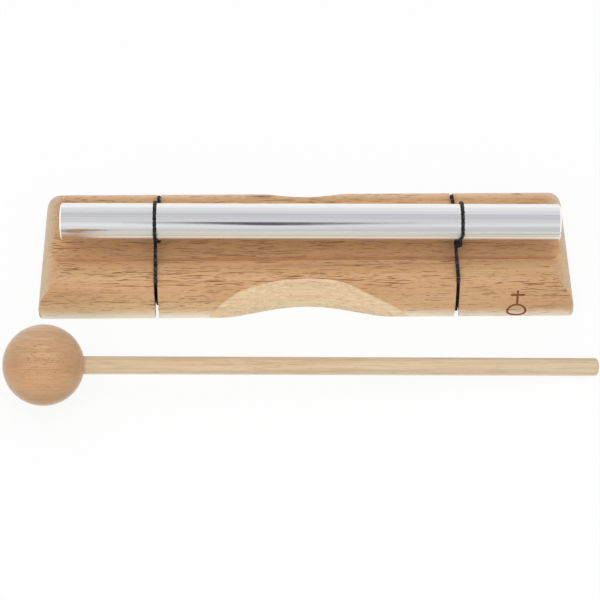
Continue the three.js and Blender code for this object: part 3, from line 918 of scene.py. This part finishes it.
def crossing(a, along_a, b, along_b):
    """Where two lines meet, each given by a point and a direction."""
    turn = along_a.x * along_b.y - along_a.y * along_b.x
    gap = b - a
    return a + along_a * ((gap.x * along_b.y - gap.y * along_b.x) / turn)


def rounded_path(corners):
    """A path of (point, radius) corners with each inner corner rounded by its own radius."""
    points = [corners[0][0]]
    for (before, _), (at, radius), (after, _) in zip(corners, corners[1:], corners[2:]):
        back, ahead = (before - at).normalized(), (after - at).normalized()
        half = math.acos(back.dot(ahead)) / 2
        centre = at + (back + ahead).normalized() * radius / math.sin(half)
        start = at + back * radius / math.tan(half) - centre
        swing = (math.pi - 2 * half) * math.copysign(1, ahead.x * back.y - ahead.y * back.x)
        steps = max(4, round(abs(swing) * radius / PATH_STEP))
        for k in range(steps + 1):
            a = swing * k / steps
            turned_start = Vector((start.x * math.cos(a) - start.y * math.sin(a),
                                   start.x * math.sin(a) + start.y * math.cos(a)))
            points.append(centre + turned_start)
    points.append(corners[-1][0])
    return points


def side_run(run, side, reach):
    """Out from the knot, up the kerf and in over the top; (distance from the middle, height)."""
    top, bottom = Vector((HALF_WIDTH - kerf_inset(side), BASE_HEIGHT)), Vector((HALF_WIDTH - run, 0))
    way = (top - bottom).normalized()
    kerf_line = bottom + Vector((way.y, -way.x)) * STANDOFF
    level = Vector((1, 0))
    knot_end, strand_end = Vector((CORD_RADIUS, UNDER_CORD_Z)), Vector((reach, STRAND_Z))
    return rounded_path([(knot_end, 0), (crossing(knot_end, level, kerf_line, way), STANDOFF),
                         (crossing(kerf_line, way, strand_end, level), STANDOFF), (strand_end, 0)])


print("a cord's middle line is", STANDOFF, "mm off the wood and", round(PRESSED_STANDOFF, 2),
      "mm off the rod where it is pressed on it")

# %% [markdown]
# ## Once round the rod
#
# The turn starts underneath, rises behind, comes over and goes down in front, and its two ends
# pass each other under the rod. So it can't stay in one plane: it drifts along the rod as it
# goes. Shares of the turn, from 0 to 1, say where each change starts and where it is complete.

# %% Cord path
TURN_STEPS = 208
DRIFT_BEHIND, DRIFT_BEFORE = (0.05, 0.25), (0.8, 1)
HOOK_GROWS, HOOK_FADES = (0.72, 0.85), (0.855, 0.925)
SLACK_GROWS, SLACK_FADES = (0.76, 0.86), (0.9, 0.99)
HUG_GROWS, HUG_FADES = (0.02, 0.16), (0.84, 0.98)


def rod_y(x):
    return ROD_CENTRE_Y + (x - ROD_CENTRE_X) * math.tan(ROD_TURN)


def eased(value, low, high):
    t = min(max((value - low) / (high - low), 0), 1)
    return t * t * (3 - 2 * t)


def between(share, grows, fades):
    """0, then 1, then 0 again."""
    return eased(share, *grows) * (1 - eased(share, *fades))


def drift(cord, share):
    """Where the cord lies along the rod at a share of its turn."""
    behind, before = eased(share, *DRIFT_BEHIND), eased(share, *DRIFT_BEFORE)
    return (cord["under"] + (cord["over"] - cord["under"]) * behind
            + (cord["leave"] - cord["over"]) * before
            - cord["hook"] * between(share, HOOK_GROWS, HOOK_FADES))


def off_rod(cord, share):
    """How far the cord's middle line is off the rod: less where the cord is pulled tight."""
    hugging = between(share, HUG_GROWS, HUG_FADES)
    loose = cord["slack"] * between(share, SLACK_GROWS, SLACK_FADES)
    return STANDOFF - (STANDOFF - PRESSED_STANDOFF) * hugging + loose


def cord_path(cord):
    """The whole cord in millimetres: knot, front kerf, one turn round the rod, back kerf, knot."""
    front = [Vector((cord["x"], -p.x, p.y)) for p in side_run(cord["run"], -1, -rod_y(cord["under"]))][:-1]
    back = [Vector((cord["x"], p.x, p.y)) for p in side_run(cord["run"], 1, rod_y(cord["leave"]))][:-1]
    wrap = []
    for i in range(TURN_STEPS + 1):
        share = i / TURN_STEPS
        a = 2 * math.pi * share - math.pi / 2
        x, reach = drift(cord, share), rod_radius + off_rod(cord, share)
        wrap.append(Vector((x, rod_y(x) + reach * math.cos(a), ROD_CENTRE_Z + reach * math.sin(a))))
    return front + wrap + back[::-1]


paths = {which: cord_path(cord) for which, cord in CORDS.items()}
print("path points:", {which: len(path) for which, path in paths.items()})

# %% [markdown]
# ## How long the cords are
#
# The path has many points in its bends and few on its straight runs. Laid out again with points
# a fixed step apart, it gives an even braid, and its length is that of the taut cord from knot
# to knot. The turn's two ends pass each other closely, so the least distance between them is
# measured too: it can't be much less than the cord's own thickness.

# %% Cord lengths
WELL_APART = 11.2


def evenly(points, step):
    """The same path with points a fixed step apart, and its length."""
    lengths = [0.0]
    for a, b in zip(points, points[1:]):
        lengths.append(lengths[-1] + (b - a).length)
    count = round(lengths[-1] / step)
    result, k = [], 0
    for i in range(count + 1):
        target = lengths[-1] * i / count
        while k < len(points) - 2 and lengths[k + 1] < target:
            k += 1
        t = (target - lengths[k]) / (lengths[k + 1] - lengths[k])
        result.append(points[k].lerp(points[k + 1], min(max(t, 0), 1)))
    return result, lengths[-1]


def nearest_to_itself(points):
    """The least distance between two places of the path that are well apart along it."""
    apart = round(WELL_APART / PATH_STEP)
    return min((a - b).length for i, a in enumerate(points) for b in points[i + apart:])


for which, path in paths.items():
    points, length = evenly(path, PATH_STEP)
    print(which, "cord:", round(length, 1), "mm from knot to knot; its middle line passes itself at",
          round(nearest_to_itself(points), 2), "mm")

# %% [markdown]
# ## Braided cord
#
# The cover of an elastic cord is braided from fine yarns that cross each other left and right.
# Real strands would be thousands of faces each, so the tube's own surface rises and falls
# instead: at each point the higher of two slanting waves wins, which is how crossing yarns
# look from outside.

# %% Cord mesh
CORD_SIDES, YARNS, BRAID_RELIEF, BRAID_LENGTH = 48, 6, 0.11, 8.4
BEAD_LENGTHS, BEAD_RELIEF = (1.5, 2.6), 0.3
FREE_ABOVE, KERF_CLEARANCE = (-0.4, 0.6), 0.02


def squeezed(here):
    """How narrow the cord is along X: squeezed in the kerfs and free above the board."""
    free = eased(here.z, BASE_HEIGHT + FREE_ABOVE[0], BASE_HEIGHT + FREE_ABOVE[1])
    tight = (KERF_WIDTH / 2 - KERF_CLEARANCE) / CORD_RADIUS
    return tight + (1 - tight) * free


def pressed(here):
    """How flat the cord is: pressed on to the rod, and round where it is free of it."""
    away = math.hypot(here.y - rod_y(here.x), here.z - ROD_CENTRE_Z) - rod_radius
    return PRESSED_SHARE + (1 - PRESSED_SHARE) * eased(away, PRESSED_STANDOFF, STANDOFF)


def cord_mesh(name, path, is_knot=False):
    """A braided tube along a path; a knot is neither squeezed nor pressed."""
    points, _ = evenly(path, PATH_STEP)
    count = len(points)
    vertices, faces = [], []
    side = Vector((1, 0, 0))
    for i, here in enumerate(points):
        along = (points[min(i + 1, count - 1)] - points[max(i - 1, 0)]).normalized()
        side = (side - along * side.dot(along)).normalized()
        lift = along.cross(side)
        narrow, low = (1, 1) if is_knot else (squeezed(here), pressed(here))
        beads = sum(math.cos(2 * math.pi * i * PATH_STEP / length) for length in BEAD_LENGTHS)
        bulge = 1 - BEAD_RELIEF * (2 - beads) / 4
        twist = 2 * math.pi * i * PATH_STEP / BRAID_LENGTH * YARNS
        for k in range(CORD_SIDES):
            a = 2 * math.pi * k / CORD_SIDES
            yarn = max(math.cos(YARNS * a - twist), math.cos(YARNS * a + twist))
            radius = bulge * CORD_RADIUS - BRAID_RELIEF + BRAID_RELIEF * yarn
            offset = math.cos(a) * narrow * side + math.sin(a) * low * lift
            vertices.append((here + radius * offset) * MM)
    for i in range(count - 1):
        for k in range(CORD_SIDES):
            a, b = i * CORD_SIDES + k, i * CORD_SIDES + (k + 1) % CORD_SIDES
            faces.append((a, b, b + CORD_SIDES, a + CORD_SIDES))
    faces.append(tuple(reversed(range(CORD_SIDES))))
    faces.append(tuple(range((count - 1) * CORD_SIDES, count * CORD_SIDES)))
    piece = new_piece(name, vertices, faces)
    face_outwards(piece)
    smooth(piece, angle=60)
    return piece


cord_pieces = {which: cord_mesh(which + "_elastic", path) for which, path in paths.items()}
for piece in cord_pieces.values():
    print(piece.name, len(piece.data.vertices), "points")

# %% [markdown]
# ## Black yarn
#
# Black yarn isn't quite black: loose fibres catch the light, and worn places have gone grey.
# Very fine noise makes the fuzz and a coarser one the worn places. Pure black would swallow the
# braid's relief.

# %% Yarn
YARN_FUZZ, YARN_WEAR = (2600, 2600, 2600), (800, 800, 800)
YARN_BLACK, YARN_FUZZY, YARN_WORN = colour(9, 9, 11), colour(30, 29, 31), colour(82, 78, 78)
FUZZ_TONES, WORN_TONES, YARN_ROUGHNESS = (0.35, 0.7), (0.5, 0.64, 0.0, 0.7), (0.3, 0.7, 0.55, 0.75)
YARN_RELIEF = 0.00004


def black_elastic():
    n = Nodes(bpy.data.materials.new("black_elastic"))
    fuzz = noise(n, n.position(), YARN_FUZZ, detail=3.0, roughness=0.7)
    wear = noise(n, n.position(), YARN_WEAR)
    tone = n.blend(n.span(fuzz, *FUZZ_TONES), YARN_BLACK, YARN_FUZZY)
    tone = n.blend(n.span(wear, *WORN_TONES), tone, YARN_WORN)
    n.give("Roughness", n.span(fuzz, *YARN_ROUGHNESS))
    n.give("Specular IOR Level", 0.3)
    n.give("Normal", n.bump(fuzz, YARN_RELIEF))
    return paint(n, tone)


elastic = black_elastic()
for piece in cord_pieces.values():
    finished(piece, elastic)
print("yarn finish:", elastic.name)

# %% [markdown]
# ## The knot under the board
#
# The ends of each cord are tied under the board, out of sight. An overhand knot is a trefoil:
# three lobes that pass over and under each other. It is made as the same kind of braided tube,
# flattened to fit its pocket.

# %% Knots
KNOT_STEPS = 160


def knot_path(x):
    """A tight trefoil inside the pocket."""
    points = []
    for i in range(KNOT_STEPS + 1):
        t = 2 * math.pi * i / KNOT_STEPS
        u = (math.sin(t) + 2 * math.sin(2 * t)) / 3
        v = (math.cos(t) - 2 * math.cos(2 * t)) / 3
        points.append(Vector((x + u * (KNOT_WIDTH / 2 - CORD_RADIUS),
                              v * (KNOT_LENGTH / 2 - CORD_RADIUS),
                              KNOT_CENTRE_Z - math.sin(3 * t) * (KNOT_HEIGHT / 2 - CORD_RADIUS))))
    return points


for which, cord in CORDS.items():
    knot = finished(cord_mesh(which + "_knot", knot_path(cord["x"]), is_knot=True), elastic)
    for piece in (knot, cord_pieces[which]):
        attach(piece, "base")
    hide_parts(which + "_cord")
    print(knot.name, len(knot.data.vertices), "points")

# %% [markdown]
# ## The mallet
#
# The mallet is a turned ball on a thin dowel, of a paler wood than the board. Both are turned
# along X and then laid down: the ball rests on the table at one end, the dowel's tip at the
# other. The ball keeps its drilled hole, with a dark line of glue where the dowel goes in.

# %% Mallet
BALL_RADIUS, HANDLE_RADIUS, HANDLE_REACH, HANDLE_SOCKET = 17.0, 3.8, 233.8, 11.0
HANDLE_CHAMFER, SOCKET_FLOOR_GAP = 1.4, 0.6
MOUTH_WIDER, MOUTH_DEPTH, MOUTH_RING = 0.35, 0.25, 4
INNER_EDGE, HANDLE_PLAIN_END = 0.5, 6
BALL_SIDES, BALL_STEPS = 160, 96
HANDLE_SIDES, HANDLE_STEPS, TIP_STEPS = 72, 12, 10
MALLET_X, MALLET_Y = -110.1, -68.6
MALLET_TURN = math.radians(1.82)


def mallet_place():
    """Turned on the table, and tilted until the handle's tip touches it too."""
    reach = HANDLE_REACH - HANDLE_CHAMFER
    tilt = math.asin(BALL_RADIUS / math.hypot(reach, HANDLE_RADIUS)) - math.atan2(HANDLE_RADIUS, reach)
    at = Matrix.Translation(Vector((MALLET_X, MALLET_Y, BALL_RADIUS)) * MM)
    return at @ Matrix.Rotation(MALLET_TURN, 4, "Z") @ Matrix.Rotation(tilt, 4, "Y")


def ball_profile():
    """The outside from the far end to the hole's mouth, then down the hole to its floor."""
    socket_radius = HANDLE_RADIUS + SEAT_GAP
    mouth = math.degrees(math.asin((socket_radius + MOUTH_WIDER) / BALL_RADIUS))
    outside = arc((0, 0), BALL_RADIUS, 180, mouth, BALL_STEPS)
    outside[0] = (-BALL_RADIUS, 0)
    edge = math.sqrt(BALL_RADIUS ** 2 - socket_radius ** 2) - MOUTH_DEPTH
    floor = BALL_RADIUS - HANDLE_SOCKET - SOCKET_FLOOR_GAP
    return outside + [(edge, socket_radius), (edge - MOUTH_RING, socket_radius),
                      (floor, socket_radius), (floor, 0)]


def handle_profile():
    """From the end in the ball to the tip, which is rounded."""
    inner = BALL_RADIUS - HANDLE_SOCKET
    start, plain = inner + INNER_EDGE, HANDLE_REACH - inner - HANDLE_PLAIN_END
    profile = [(inner, 0), (inner, HANDLE_RADIUS - INNER_EDGE), (start, HANDLE_RADIUS)]
    profile += [(start + plain * i / HANDLE_STEPS, HANDLE_RADIUS) for i in range(1, HANDLE_STEPS)]
    for i in range(TIP_STEPS + 1):
        a = math.radians(90 * i / TIP_STEPS)
        profile.append((HANDLE_REACH - HANDLE_CHAMFER * (1 - math.sin(a)),
                        HANDLE_RADIUS - HANDLE_CHAMFER * (1 - math.cos(a))))
    return profile + [(HANDLE_REACH, 0)]


ball = turned("mallet_ball", ball_profile(), BALL_SIDES)
dowel = turned("mallet_dowel", handle_profile(), HANDLE_SIDES)
for piece in (ball, dowel):
    piece.matrix_world = mallet_place()
print("mallet:", len(ball.data.vertices) + len(dowel.data.vertices), "points")

# %% [markdown]
# ## The mallet's two woods
#
# Ball and dowel are turned from different sticks: the ball from a browner one with close, even
# streaks, the dowel from a plain pale one. The same wood recipe makes both, with other colours.
# The ball's growth layers are flat, so they show as straight lines across it. Bare turned wood
# has a soft pale edge, which the sheen of the shader gives. The ball has painted shade everywhere
# but its top, which stays lightest, and the dowel is stained where a little glue was pressed out
# of the ball's hole and has painted light on its underside, as light thrown up from the floor.

# %% Mallet wood
BALL_PALE, BALL_DEEP = colour(203, 166, 129), colour(176, 135, 93)
BALL_PORE, BALL_END = colour(140, 96, 57), colour(200, 164, 126)
DOWEL_PALE, DOWEL_DEEP = colour(208, 187, 158), colour(190, 166, 132)
DOWEL_PORE, DOWEL_END = colour(160, 124, 88), colour(206, 184, 152)
BALL_SEED, DOWEL_SEED = 1.9, 3.1
# Painted shade on the ball everywhere but its top.
BALL_PAINTED_SHADE_TINT, BALL_PAINTED_SHADE_LEAN = colour(246, 236, 222), (0.98, 0.3)
GLUE_TINT, GLUE_RING = colour(196, 136, 84), (BALL_RADIUS + 1.2, BALL_RADIUS - 0.6, 0.6)
# Painted light on the dowel's underside, as light thrown up from the white floor.
UNDERSIDE_PAINTED_LIGHT_TINT, UNDERSIDE_PAINTED_LIGHT_LEAN = colour(240, 228, 198), (0.1, -0.4, 0.0, 0.7)


def ball_wood():
    n, body = make_wood("mallet_ball_wood", BALL_PALE, BALL_DEEP, BALL_PORE, BALL_END, BALL_SEED,
                        pore_amount=0.8, end_amount=0.2, bloom=1.0, waver=0.3, fineness=2.3,
                        layers=0.1, layer_turn=math.radians(50))
    # Painted shade: the ball is darker away from its top.
    return paint(n, n.blend(n.span(n.facing["Z"], *BALL_PAINTED_SHADE_LEAN), body, BALL_PAINTED_SHADE_TINT, "MULTIPLY"))


def dowel_wood():
    n, body = make_wood("mallet_dowel_wood", DOWEL_PALE, DOWEL_DEEP, DOWEL_PORE, DOWEL_END,
                        DOWEL_SEED, pore_amount=0.45, bloom=0.5)
    along = n.parts(n.position())["X"]
    body = n.blend(n.zone(along, *GLUE_RING), body, GLUE_TINT)
    # Painted light: the dowel's underside is painted paler.
    return paint(n, n.blend(n.span(n.facing["Z"], *UNDERSIDE_PAINTED_LIGHT_LEAN), body, UNDERSIDE_PAINTED_LIGHT_TINT))


finished(ball, ball_wood())
finished(dowel, dowel_wood())
for piece, node in ((ball, "mallet_head"), (dowel, "mallet_handle")):
    smooth(piece, angle=30)
    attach(piece, "mallet")
    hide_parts(node)
print("mallet finishes:", ball.data.materials[0].name, dowel.data.materials[0].name)

# %% [markdown]
# ## The burnt sign
#
# Near the right end of the front a small old sign is burnt into the wood: a circle with a cross
# standing on it. It is plain and traditional, so it stays. A decal image would be the usual
# way; here thin ribbons follow the front's own curve and stand a few hundredths of a millimetre
# proud of it, so that they show from any side and in any finish.

# %% Sign
SIGN_X, SIGN_WIDEST_HEIGHT, SIGN_HALF_WIDTH = 91.1, 3.5, 3.95
SIGN_RING_UP, SIGN_RING_DOWN = 4.1, 2.3
SIGN_STEM_TOP, SIGN_BAR_HEIGHT, SIGN_BAR_HALF = 15.1, 12.95, 3.0
RING_STEPS, STEM_STEPS, BAR_STEPS = 96, 24, 16
SIGN_LINE, SIGN_PROUD, SIGN_SUNK, SIGN_FLAT_SHARE = 1.15, 0.03, 0.05, 0.8
CHAR, CHAR_TONES, CHAR_RELIEF = (900, 1500, 1500), (0.35, 0.65), 0.00003
CHAR_DEEP, CHAR_PALE = colour(98, 52, 22), colour(146, 90, 48)


def on_front(x, height):
    """A point on the curved front at a height over the table, and the way out from it."""
    rise = BASE_HEIGHT - BOTTOM_EDGE
    a = math.asin(min(max((height - BOTTOM_EDGE) / rise, 0), 1))
    place = Vector((x, -(HALF_WIDTH - SIDE_CURVE_RUN + SIDE_CURVE_RUN * math.cos(a)), height))
    out = Vector((0, -math.cos(a) / SIDE_CURVE_RUN, math.sin(a) / rise)).normalized()
    return place, out


def ribbon(points):
    """Vertices and faces of a thin low ridge along (x, height) points."""
    vertices, faces = [], []
    section = ((-1, -SIGN_SUNK), (-SIGN_FLAT_SHARE, SIGN_PROUD),
               (SIGN_FLAT_SHARE, SIGN_PROUD), (1, -SIGN_SUNK))
    for i, here in enumerate(points):
        before, after = points[max(i - 1, 0)], points[min(i + 1, len(points) - 1)]
        way = (Vector(after) - Vector(before)).normalized()
        across_way = Vector((-way.y, way.x)) * SIGN_LINE / 2
        for share, lift in section:
            at = Vector(here) + across_way * share
            place, out = on_front(at.x, at.y)
            vertices.append((place + out * lift) * MM)
    for i in range(len(points) - 1):
        for k in range(4):
            a, b = i * 4 + k, i * 4 + (k + 1) % 4
            faces.append((a, b, b + 4, a + 4))
    faces += [(0, 1, 2, 3), tuple(range(len(vertices) - 1, len(vertices) - 5, -1))]
    return vertices, faces


def sign_strokes():
    """The middle lines of the sign's ring, stem and bar."""
    ring = []
    for i in range(RING_STEPS + 1):
        a = 2 * math.pi * i / RING_STEPS
        tall = SIGN_RING_UP if math.sin(a) > 0 else SIGN_RING_DOWN
        ring.append((SIGN_X + SIGN_HALF_WIDTH * math.cos(a), SIGN_WIDEST_HEIGHT + tall * math.sin(a)))
    foot = SIGN_WIDEST_HEIGHT + SIGN_RING_UP
    stem = [(SIGN_X, foot + (SIGN_STEM_TOP - foot) * i / STEM_STEPS) for i in range(STEM_STEPS + 1)]
    bar = [(SIGN_X + SIGN_BAR_HALF * (2 * i / BAR_STEPS - 1), SIGN_BAR_HEIGHT)
           for i in range(BAR_STEPS + 1)]
    return ring, stem, bar


def scorched():
    n = Nodes(bpy.data.materials.new("scorched_wood"))
    char = noise(n, n.position(), CHAR, detail=3.0, roughness=0.6)
    n.give("Roughness", 0.8)
    n.give("Normal", n.bump(char, CHAR_RELIEF))
    return paint(n, n.blend(n.span(char, *CHAR_TONES), CHAR_DEEP, CHAR_PALE))


vertices, faces = [], []
for stroke in sign_strokes():
    more, more_faces = ribbon(stroke)
    faces += [tuple(i + len(vertices) for i in face) for face in more_faces]
    vertices += more
sign = finished(new_piece("burnt_sign", vertices, faces), scorched())
face_outwards(sign)
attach(sign, "base")
print("sign:", len(vertices), "points")

# %% [markdown]
# ## Floor, light and backdrop
#
# The object was photographed in a light tent: even light from all sides, on white. The floor is
# a plain white sheet that looks its full white to the camera and still takes a soft shadow. The
# sky round it is white too, with darker bands seen only by shiny surfaces, because a tent has a
# dim roof where the camera's own opening is. Those bands are what shows on the rod.

# %% Floor
FLOOR_HALF = 6.0
SHEET_TONE, SHEET_IN_ROD, SHEET_GLOW = 0.78, 0.62, 0.9
TO_THE_BACK = (-20, 40)


def white_sheet():
    """White to the camera, dimmer where the rod mirrors its front half; takes soft shadows."""
    n = Nodes(bpy.data.materials.new("white_sheet"))
    n.give("Base Color", grey(SHEET_TONE))
    n.give("Roughness", 0.9)
    n.give("Specular IOR Level", 0.1)
    rays = n.add("ShaderNodeLightPath").outputs
    to_the_back = n.zone(n.parts(n.position())["Y"], *TO_THE_BACK)
    in_rod = n.blend(to_the_back, grey(SHEET_IN_ROD), WHITE)
    glow = n.add("ShaderNodeEmission")
    n.link(n.blend(rays["Is Glossy Ray"], WHITE, in_rod), glow.inputs["Color"])
    seen = n.larger(rays["Is Camera Ray"], rays["Is Glossy Ray"])
    mix = n.add("ShaderNodeMixShader")
    n.link(n.times(seen, SHEET_GLOW), mix.inputs[0])
    n.link(n.shader.outputs[0], mix.inputs[1])
    n.link(glow.outputs[0], mix.inputs[2])
    n.link(mix.outputs[0], n.tree.nodes["Material Output"].inputs["Surface"])
    return n.owner


corner_signs = ((-1, -1), (1, -1), (1, 1), (-1, 1))
floor_corners = [(FLOOR_HALF * x, FLOOR_HALF * y, 0) for x, y in corner_signs]
floor = new_piece("floor", floor_corners, [(0, 1, 2, 3)])
finished(floor, white_sheet())
print("floor", 2 * FLOOR_HALF, "m wide")

# %% [markdown]
# ## The light tent
#
# A round polished bar turns the whole half circle above it into stripes, so each stripe on the
# photograph's rod tells how bright the tent was at one height. The tent is given as a few light
# levels for its left side and a few for its right, set until the stripes looked right.

# %% Tent stripes
ALUMINIUM_LEVEL = 0.82
# How bright the tent looks at each height in degrees, from the front horizon over the top to the
# back horizon, as screen values.
TENT_LEFT = ((0, 205), (20, 225), (33, 225), (48, 205), (76, 203),
             (97, 186), (112, 211), (137, 221), (180, 246))
TENT_RIGHT = ((0, 190), (16, 198), (30, 222), (42, 210), (66, 203),
              (91, 189), (106, 213), (137, 223), (180, 248))
ROOF_FROM, ROOF_TO, ROOF_TINT = 52, 108, (1.0, 0.985, 1.045)


def tent_stripes(n, turn, levels):
    """A colour ramp over the half circle from a list of (degrees, screen value)."""
    stops = []
    for degrees, value in levels:
        level = colour(value, value, value)[0] / ALUMINIUM_LEVEL
        tint = ROOF_TINT if ROOF_FROM < degrees < ROOF_TO else (1, 1, 1)
        stops.append((degrees / 180, (level * tint[0], level * tint[1], level * tint[2], 1)))
    return n.ramp(turn, stops)


print("tent stripes:", len(TENT_LEFT), "at the left,", len(TENT_RIGHT), "at the right")

# %% [markdown]
# ## The slit and the sky
#
# The lens looks in through a slit in the tent's front, and the rod shows it as a dark wedge near
# its middle. The slit is given by its height, by how thick it is in the middle and at its tips,
# and by how far it reaches to the sides. Then the three parts of the world are put together: the
# camera sees plain white, shiny surfaces see the stripes and the slit, and all others get an
# even light.

# %% World
SKY_LEVEL = 0.76
# How far to the side the left stripes end and the right ones are full, from -1 to 1.
LEFT_TO_RIGHT = (-0.06, 0.1)
# The slit's height and thicknesses are in degrees, its middle and half width from -1 to 1 too.
SLIT_HEIGHT, SLIT_THIN, SLIT_THICK = 47.5, 5.0, 20.0
SLIT_MIDDLE, SLIT_HALF = -0.0166, 0.06
SLIT_UPPER_EDGE, SLIT_LOWER_EDGE, SLIT_TIPS = (-1.0, 1.5), (-1.0, 3.0), (0.0, 0.35)
SLIT_COLOUR = (0.10, 0.075, 0.10, 1)


def lens_slit(n, way, turn):
    """1 in the dark slit, which is thick in the middle and runs out to both sides."""
    off_middle = n.math("DIVIDE", n.unsigned(n.minus(way["X"], SLIT_MIDDLE)), SLIT_HALF)
    nearness = n.math("SUBTRACT", 1.0, off_middle, clamp=True)
    thickness = n.plus(n.times(nearness, SLIT_THICK), SLIT_THIN)
    below = n.minus(SLIT_HEIGHT, n.times(turn, 180.0))
    inside = n.times(n.span(below, *SLIT_UPPER_EDGE),
                     n.span(n.minus(thickness, below), *SLIT_LOWER_EDGE))
    return n.times(inside, n.span(nearness, *SLIT_TIPS))


tent = bpy.data.worlds.new("tent")
bpy.context.scene.world = tent
n = Nodes(tent)
way = n.parts(n.add("ShaderNodeTexCoord").outputs["Generated"])
turn = n.math("DIVIDE", n.math("ARCTAN2", way["Z"], n.times(way["Y"], -1.0)), math.pi)
stripes = n.blend(n.span(way["X"], *LEFT_TO_RIGHT), tent_stripes(n, turn, TENT_LEFT),
                  tent_stripes(n, turn, TENT_RIGHT))
stripes = n.blend(lens_slit(n, way, turn), stripes, SLIT_COLOUR)
rays = n.add("ShaderNodeLightPath").outputs
plain = n.blend(rays["Is Camera Ray"], grey(SKY_LEVEL), WHITE)
n.link(n.blend(rays["Is Glossy Ray"], plain, stripes), n.tree.nodes["Background"].inputs["Color"])
print("world:", tent.name, "with", len(n.tree.nodes), "nodes")

# %% [markdown]
# ## Three soft lamps
#
# The tent's walls light the object evenly, and three large area lamps add a little direction:
# two in front, one overhead. Large lamps give soft shadows. They are hidden from shiny surfaces,
# because the rod already shows the tent, and three square lamps in it would look like windows.

# %% Lights
# Each lamp's place and the length of its side in metres, and its power in watts.
SOFTBOXES = {
    "front_left": ((-0.8, -1.3, 1.25), 1.2, 9.2),
    "front_right": ((0.9, -1.3, 1.25), 1.2, 5.8),
    "overhead": ((0.1, 0.1, 1.7), 1.4, 6.5),
}


def softbox(name, place, size, power):
    """A square lamp that points at the middle of the board."""
    light = bpy.data.lights.new(name, "AREA")
    light.shape = "SQUARE"
    light.size = size
    light.energy = power
    lamp = bpy.data.objects.new(name, light)
    lamp.location = place
    lamp.rotation_euler = (-Vector(place)).to_track_quat("-Z", "Y").to_euler()
    lamp.visible_glossy = False
    bpy.context.scene.collection.objects.link(lamp)


for name, (place, size, power) in SOFTBOXES.items():
    softbox(name, place, size, power)
bpy.context.scene.view_settings.view_transform = "Standard"

# %% [markdown]
# ## The end
